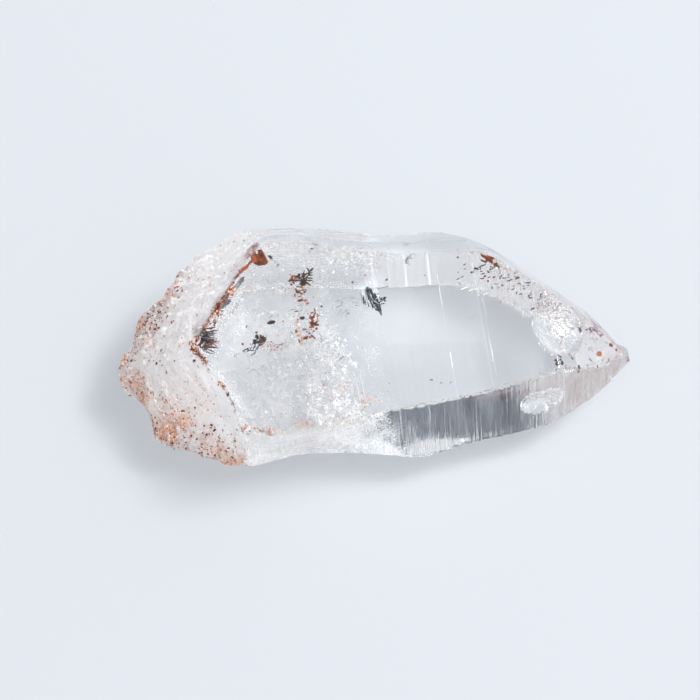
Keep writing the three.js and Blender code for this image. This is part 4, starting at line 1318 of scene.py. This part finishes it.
def white_flakes(crystal, rng):
    """White flakes in their zones, and the white seams."""
    flakes = []
    for middle, spread, count in WHITE_ZONES:
        for at in inside(crystal, rng.normal(middle, spread, (count, 3)), 0.93):
            piece = stretched(mote(rng.uniform(*WHITE_SIZE), rng, rng.uniform(0, 1)), (1.8, 1, 0.15))
            flakes.append(placed(piece, rng.normal(0, (0.3, 0.3, 1.2)), at))
    for x, start, end, z, radius in SEAMS:
        y = np.linspace(start, end, 9)
        wave = 0.05 * rng.normal(size=(9, 2))
        path = np.column_stack([x + 0.15 * (start - y) / 3 + wave[:, 0], y, z + wave[:, 1]])
        flakes.append(thread(path, radius, 1.0))
    return flakes


def milky_wisps(crystal, rng):
    """Wisps of milky specks, each strewn along its own short line."""
    motes = []
    for _ in range(WISPS):
        x = rng.uniform(*WISP_SPAN) - 5 * rng.uniform() ** 2
        start = np.array((x, rng.uniform(-8, 8), rng.uniform(2.5, 8)))
        way = rng.normal(0, (0.9, 0.6, 0.35))
        along = rng.uniform(-1, 1, (WISP_MOTES, 1))
        places = start + along * way + rng.normal(0, (0.3, 0.3, 0.2), (WISP_MOTES, 3))
        for at in inside(crystal, places, 0.9):
            piece = mote(rng.uniform(0.016, 0.042), rng, rng.uniform(0, 1))
            motes.append(placed(piece, rng.uniform(0, 3, 3), at))
    return motes


def build_veils(crystal, looks):
    rng = np.random.default_rng(23)
    add_group("crushed_gaps", crushed_gaps(crystal, rng), looks["hollow"])
    add_group("tiny_cavities", tiny_cavities(crystal, rng), looks["hollow"])
    add_group("white_flakes", white_flakes(crystal, rng), looks["milky_quartz"])
    add_group("milky_wisps", milky_wisps(crystal, rng), looks["milky_quartz"])


def lone_dark_grains(rng):
    dark = [long_grain(row, rng, rng.uniform(0, 0.15)) for row in DARK_GRAINS]
    return dark + [placed(grain(rng.uniform(0.07, 0.11), rng, 0.05), at=at) for at in BEADS]


def kyanite_dashes(crystal, rng):
    """The dashes seen one by one, and a scatter of fainter ones among them and at the tip."""
    dashes = []
    for x, y, z, length, width, turn in DASHES:
        row = (x, y, z, 1.15 * length, max(width, 0.13), turn)
        dashes.append(long_grain(row, rng, rng.uniform(-0.1, 0.15)))
    places = rng.uniform((9, -3, 7), (19, 4, 11), (300, 3))
    high = places[:, 1] > 4.4 - 0.55 * (places[:, 0] - 7)
    for at in places[high & (depth_share(crystal, places) < 0.85)]:
        row = (*at, rng.uniform(0.12, 0.42), 0.1, rng.uniform(-20, 60))
        dashes.append(long_grain(row, rng, rng.uniform(-0.2, 0.25)))
    places = rng.uniform((18.6, -6.6, 5.4), (22.6, -2.4, 8.2), (90, 3))
    for at in inside(crystal, places, 0.8)[:26]:
        row = (*at, rng.uniform(0.1, 0.3), 0.09, rng.uniform(-60, 40))
        dashes.append(long_grain(row, rng, rng.uniform(-0.2, 0.4)))
    return dashes


def root_spots(crystal, rng):
    """Dark spots, each settled on the point of the surface nearest to its place."""
    points, outward = crystal["points"], crystal["outward"].reshape(-1, 3)
    spots = []
    for x, y, z, length, width, turn in ROOT_SPOTS:
        near = np.linalg.norm(points - (x, y, z), axis=-1).argmin()
        piece = grain(0.5, rng, 0.05, (length, width, 0.1))
        spots.append(lying_on(piece, outward[near], points.reshape(-1, 3)[near], math.radians(turn)))
    return spots


def root_parts(crystal):
    """Parts of the root that stains gather on: dots along the edges of the top, and the two rims."""
    points, edges = crystal["points"], crystal["edges"]
    x = points[..., 0]
    grouped = np.clip(0.3 + 2 * rough_noise(points, 0.8, 3, 65), 0, 1)
    top_edge = np.minimum(edges["top_plus"], edges["top_minus"])
    line = grouped * close_to(top_edge, 0.4) * ease(-x, 9.6, 12) * ease(x, -17, -16.4)
    plus_rim = close_to(edges["waist_plus"], 3) * ease(-x, 16, 19)
    minus_rim = close_to(edges["waist_minus"], 3.4) * ease(-x, 12.5, 15)
    return line, plus_rim, minus_rim


def root_specks(crystal, rng):
    """Dark rust specks and small scales, most of them along the rims."""
    points, etch, edges = (crystal[name] for name in ("points", "etch", "edges"))
    line, plus_rim, minus_rim = root_parts(crystal)
    cloud = np.clip(0.4 + 1.4 * rough_noise(points, 0.5, 3, 63), 0, 1)
    inner = np.clip(np.minimum(edges["waist_plus"], edges["waist_minus"]) / 0.5, 0.1, 1)
    spread = (0.06 + 1.7 * plus_rim + 0.5 * minus_rim) * (1 - 0.6 * ease(-points[..., 0], 21.5, 23))
    specks = []
    for at, outward in spots_on(crystal, etch * cloud * inner * spread + 6 * line, ROOT_SPECKS, rng):
        radius = 0.018 + 0.08 * rng.uniform() ** 6
        piece = mote(radius * 1.3, rng, rng.uniform(-0.1, 0.35))
        piece = placed(stretched(piece, (rng.uniform(1, 2.4), 1, 0.6)), (0, 0, rng.uniform(0, 3)))
        specks.append(lying_on(piece, outward, at))
    crusted = etch * cloud * (minus_rim + 0.25 * plus_rim) + 0.5 * line
    for at, outward in spots_on(crystal, crusted, ROOT_SCALES, rng):
        piece = scale_plate(0.04 + 0.12 * rng.uniform() ** 2, 0.03, rng, rng.uniform(0.1, 1))
        piece = placed(piece, rng.normal(0, 0.25, 3))
        specks.append(lying_on(piece, outward, at, rng.uniform(0, 6)))
    return specks


def root_film(crystal, rng):
    """Pale orange scales in patches along the rims and the edges of the top."""
    line, plus_rim, minus_rim = root_parts(crystal)
    patch = np.clip(0.35 + 2.2 * rough_noise(crystal["points"], 0.55, 4, 31), 0, 1)
    weight = crystal["etch"] * patch * (1.3 * minus_rim + 0.4 * plus_rim + 0.02) + 1.1 * line
    film = []
    for at, outward in spots_on(crystal, weight, ROOT_FILM, rng):
        piece = flake(0.025 + 0.12 * rng.uniform() ** 3, 0.02, rng, (0, 1.4), (1, 2.6))
        piece = placed(piece, rng.normal(0, 0.3, 3))
        film.append(lying_on(piece, outward, at, rng.uniform(0, 6)))
    return film


def root_frost(crystal, rng):
    """White grains in slanting rows all over the etched root."""
    _, _, minus_rim = root_parts(crystal)
    weight = crystal["etch"] * (crystal["points"][..., 0] < 0) * (1 - 0.5 * minus_rim)
    frost = []
    for at, outward in spots_on(crystal, weight, ROOT_FROST, rng):
        piece = stretched(mote(rng.uniform(0.025, 0.06), rng, rng.uniform(0, 1)), (3, 1, 0.4))
        piece = placed(piece, rng.normal(0, 0.2, 3))
        slant = 0.75 if outward[1] > 0 else -0.85
        frost.append(lying_on(piece, outward, at, slant + 0.15 * rng.normal()))
    return frost


def break_grains(crystal, rng):
    """White grains on the fresh breaks."""
    grains = []
    for name, count, largest in BREAK_GRAINS:
        for at, outward in spots_on(crystal, crystal[name], count, rng):
            piece = stretched(mote(rng.uniform(SMALLEST_GRAIN, largest), rng, 1.0), (2, 1, 0.3))
            piece = placed(piece, rng.normal(0, 0.2, 3))
            grains.append(lying_on(piece, outward, at, rng.uniform(0, 6)))
    return grains


def painted_groove_highlights(rng):
    """White threads in the deeper grooves of the top, where these are strong; they are painted highlights."""
    threads = []
    for at, _, deep in GROOVES:
        y = np.arange(top_plus(at) - 0.4, top_minus(at) + 0.4, -0.35)
        strong = groove_noise(at, y) > 0.1 - 6 * deep
        for start, shown in zip(y, strong):
            if shown and deep > THREADED:
                z = THICKNESS - 0.6 * deep
                line = [(at + 0.008 * rng.normal(), start - 0.06 * k, z) for k in range(7)]
                threads.append(thread(leaned(line), 0.003 + 5 * deep**2, 1.0))
    return threads


# White threads on the kyanite blades that stand for their glints: painted highlights
def painted_kyanite_glints():
    glints = []
    for x, y, length, turn in PAINTED_KYANITE_GLINTS:
        path = np.linspace((-length / 2, 0, 0), (length / 2, 0.02, 0), 4)
        line = placed(thread(path, 0.028, 1.0), (0, 0, math.radians(turn)), (x, y, 0))
        glints += on_sheet(*KYANITE_AT, [line], 0.34)
    return glints


def build_specks(crystal, looks):
    """Small lone grains inside, what lies on the root and on the breaks, and painted highlights in the
    grooves and on the kyanite.
    """
    rng = np.random.default_rng(29)
    add_group("lone_dark_grains", lone_dark_grains(rng), looks["iron_oxide"])
    add_group("kyanite_dashes", kyanite_dashes(crystal, rng), looks["kyanite"])
    red = [long_grain(row, rng, rng.uniform(0.2, 0.7)) for row in RUST_GRAINS]
    add_group("lone_rust_grains", red, looks["rust"])
    add_group("root_dark_spots", root_spots(crystal, rng), looks["iron_oxide"])
    add_group("root_rust_specks", root_specks(crystal, rng), looks["rust"])
    add_group("root_orange_scales", root_film(crystal, rng), looks["orange_film"])
    add_group("root_frost_grains", root_frost(crystal, rng), looks["milky_quartz"])
    # White grains on the breaks, together with the painted highlights of the grooves and the kyanite, in one
    # piece
    glints = break_grains(crystal, rng) + painted_groove_highlights(rng) + painted_kyanite_glints()
    add_group("glints", glints, looks["milky_quartz"])


# The studio: colours of the sky, the dim part's place and reach in degrees, and the key light
SKY = (1.38, 1.42, 1.48)
SKY_FAR = (0.6, 0.65, 0.73)
SKY_BRIGHT_AT = (118, 22)
SKY_OVERHEAD, OVERHEAD_AT, OVERHEAD_REACH = (0.74, 0.77, 0.81), (24, 85), (9, 15)
SKY_FRONT, FRONT_AT, FRONT_REACH = (0.68, 0.7, 0.73), (-158, 32), (21, 33)
DIM_SKY = (0.028, 0.046, 0.074)
DIM_AT, DIM_REACH = (-8, 50), (24, 34)
DIM_MIDDLE_X, DIM_WIDTH = -0.1, (0.38, 0.46)
DIM_MIDDLE_Z, DIM_HEIGHT = 0.75, (0.14, 0.22)
# Lighter stripes in the dim part: how many per unit of x, where they start and are full, how much they keep
STRIPES, STRIPE_EDGE, STRIPE_KEEP = 22, (0.52, 0.6), 0.45
# Round lamps: name, azimuth and elevation, distance, size and power
LAMPS = (
    ("soft_key", (84, 54), 0.95, 0.5, 5.6),
    ("small_key", (80, 50), 0.8, 0.2, 2.6),
)
FLOOR_COLOUR, FLOOR_GLOW = (0.3, 0.312, 0.328), (0.285, 0.298, 0.31)
FLOOR_REACH, FLOOR_Z = 1.5, -0.0001


def build_floor():
    mesh = bpy.data.meshes.new("floor")
    square = [(FLOOR_REACH * x, FLOOR_REACH * y, FLOOR_Z) for x, y in ((-1, -1), (1, -1), (1, 1), (-1, 1))]
    mesh.from_pydata(square, [], [(0, 1, 2, 3)])
    floor = bpy.data.objects.new("floor", mesh)
    bpy.context.scene.collection.objects.link(floor)
    material = bpy.data.materials.new("pale_floor")
    material.use_nodes = True
    shader = material.node_tree.nodes["Principled BSDF"]
    shader.inputs["Base Color"].default_value = (*FLOOR_COLOUR, 1)
    shader.inputs["Emission Color"].default_value = (*FLOOR_GLOW, 1)
    shader.inputs["Emission Strength"].default_value = 1
    shader.inputs["Roughness"].default_value = 0.9
    shader.inputs["Specular IOR Level"].default_value = 0.0
    mesh.materials.append(material)


def direction(azimuth, elevation):
    """Unit vector towards a place in the sky; azimuth turns from +Y towards +X."""
    a, e = math.radians(azimuth), math.radians(elevation)
    return np.array([math.sin(a) * math.cos(e), math.cos(a) * math.cos(e), math.sin(e)])


def build_world():
    """A pale studio with a dimmer part behind the object, which the crystal's front faces mirror."""
    bpy.context.scene.world = bpy.data.worlds.new("studio")
    g = Graph(bpy.context.scene.world)
    coords = g.add("ShaderNodeTexCoord").outputs["Generated"]
    parts = g.add("ShaderNodeSeparateXYZ", {0: coords}).outputs

    def towards(at):
        links = {0: coords, 1: direction(*at)}
        return g.add("ShaderNodeVectorMath", links, operation="DOT_PRODUCT").outputs["Value"]

    def around(at, reach):
        inner, outer = (math.cos(math.radians(angle)) for angle in reach)
        return g.ranged(towards(at), outer, inner)

    def within(part, middle, width):
        away = g.maths("ABSOLUTE", g.maths("SUBTRACT", parts[part], middle))
        return g.ranged(away, *width, 1.0, 0.0)

    noise = g.add("ShaderNodeTexNoise", {"Scale": 1.0, "Detail": 2.0}, noise_dimensions="1D")
    g.put(noise.inputs["W"], g.maths("MULTIPLY", parts["X"], STRIPES))
    dim = g.ranged(noise.outputs["Fac"], *STRIPE_EDGE, 1.0, STRIPE_KEEP)
    dim = g.maths("MULTIPLY", dim, around(DIM_AT, DIM_REACH))
    dim = g.maths("MULTIPLY", dim, within("X", DIM_MIDDLE_X, DIM_WIDTH))
    dim = g.maths("MULTIPLY", dim, within("Z", DIM_MIDDLE_Z, DIM_HEIGHT))
    sky = g.mixed(g.ranged(towards(SKY_BRIGHT_AT), -0.8, 0.8), (*SKY_FAR, 1), (*SKY, 1))
    sky = g.mixed(around(OVERHEAD_AT, OVERHEAD_REACH), sky, (*SKY_OVERHEAD, 1))
    sky = g.mixed(around(FRONT_AT, FRONT_REACH), sky, (*SKY_FRONT, 1))
    g.put(g.nodes["Background"].inputs["Color"], g.mixed(dim, sky, (*DIM_SKY, 1)))


def build_lamps():
    for name, at, distance, size, power in LAMPS:
        light = bpy.data.lights.new(name, "AREA")
        light.shape = "DISK"
        light.size = size
        light.energy = power
        lamp = bpy.data.objects.new(name, light)
        bpy.context.scene.collection.objects.link(lamp)
        z = direction(*at)
        x = np.cross((0, 0, 1), z)
        x /= np.linalg.norm(x)
        rotation = Matrix(np.stack([x, np.cross(z, x), z], 1).tolist())
        lamp.matrix_world = Matrix.Translation(z * distance) @ rotation.to_4x4()


# The camera of the photograph, in the upright crystal's frame
CAMERA_AZIMUTH = math.radians(-8.5)
CAMERA_ELEVATION = math.radians(75)
CAMERA_DISTANCE = 184.8
CAMERA_AIM = (-2.14 + 0.2, 0.18 - 1.1, 5.96)


def build_camera():
    a, e = CAMERA_AZIMUTH, CAMERA_ELEVATION
    back = np.array([math.sin(a) * math.cos(e), -math.cos(a) * math.cos(e), math.sin(e)])
    right = np.array([math.cos(a), math.sin(a), 0])
    eye = np.array(CAMERA_AIM) + back * CAMERA_DISTANCE
    origin = leaned((0, 0, 0))
    axes = [leaned(v) - origin for v in (right, np.cross(back, right), back)]
    data = bpy.data.cameras.new("camera")
    data.lens, data.sensor_width = 100, 36
    camera = bpy.data.objects.new("camera", data)
    bpy.context.scene.collection.objects.link(camera)
    rotation = Matrix(np.stack(axes, 1).tolist()).to_4x4()
    camera.matrix_world = Matrix.Translation(leaned(eye) * MM) @ rotation
    data.clip_start, data.clip_end = 0.001, 10
    bpy.context.scene.camera = camera


def main():
    crystal = build_crystal()
    looks = build_looks()
    build_inclusions(looks)
    build_films(looks)
    build_veils(crystal, looks)
    build_specks(crystal, looks)
    build_floor()
    build_world()
    build_lamps()
    build_camera()
    scene = bpy.context.scene
    scene.view_settings.view_transform = "Standard"
    scene.cycles.max_bounces = 32
    scene.cycles.transmission_bounces = 24
    scene.cycles.glossy_bounces = 24
    scene.cycles.transparent_max_bounces = 32
    scene.cycles.caustics_refractive = True
    scene.cycles.caustics_reflective = True
    scene.cycles.use_denoising = True
    scene.cycles.blur_glossy = 0
    scene.cycles.sample_clamp_indirect = 6


main()
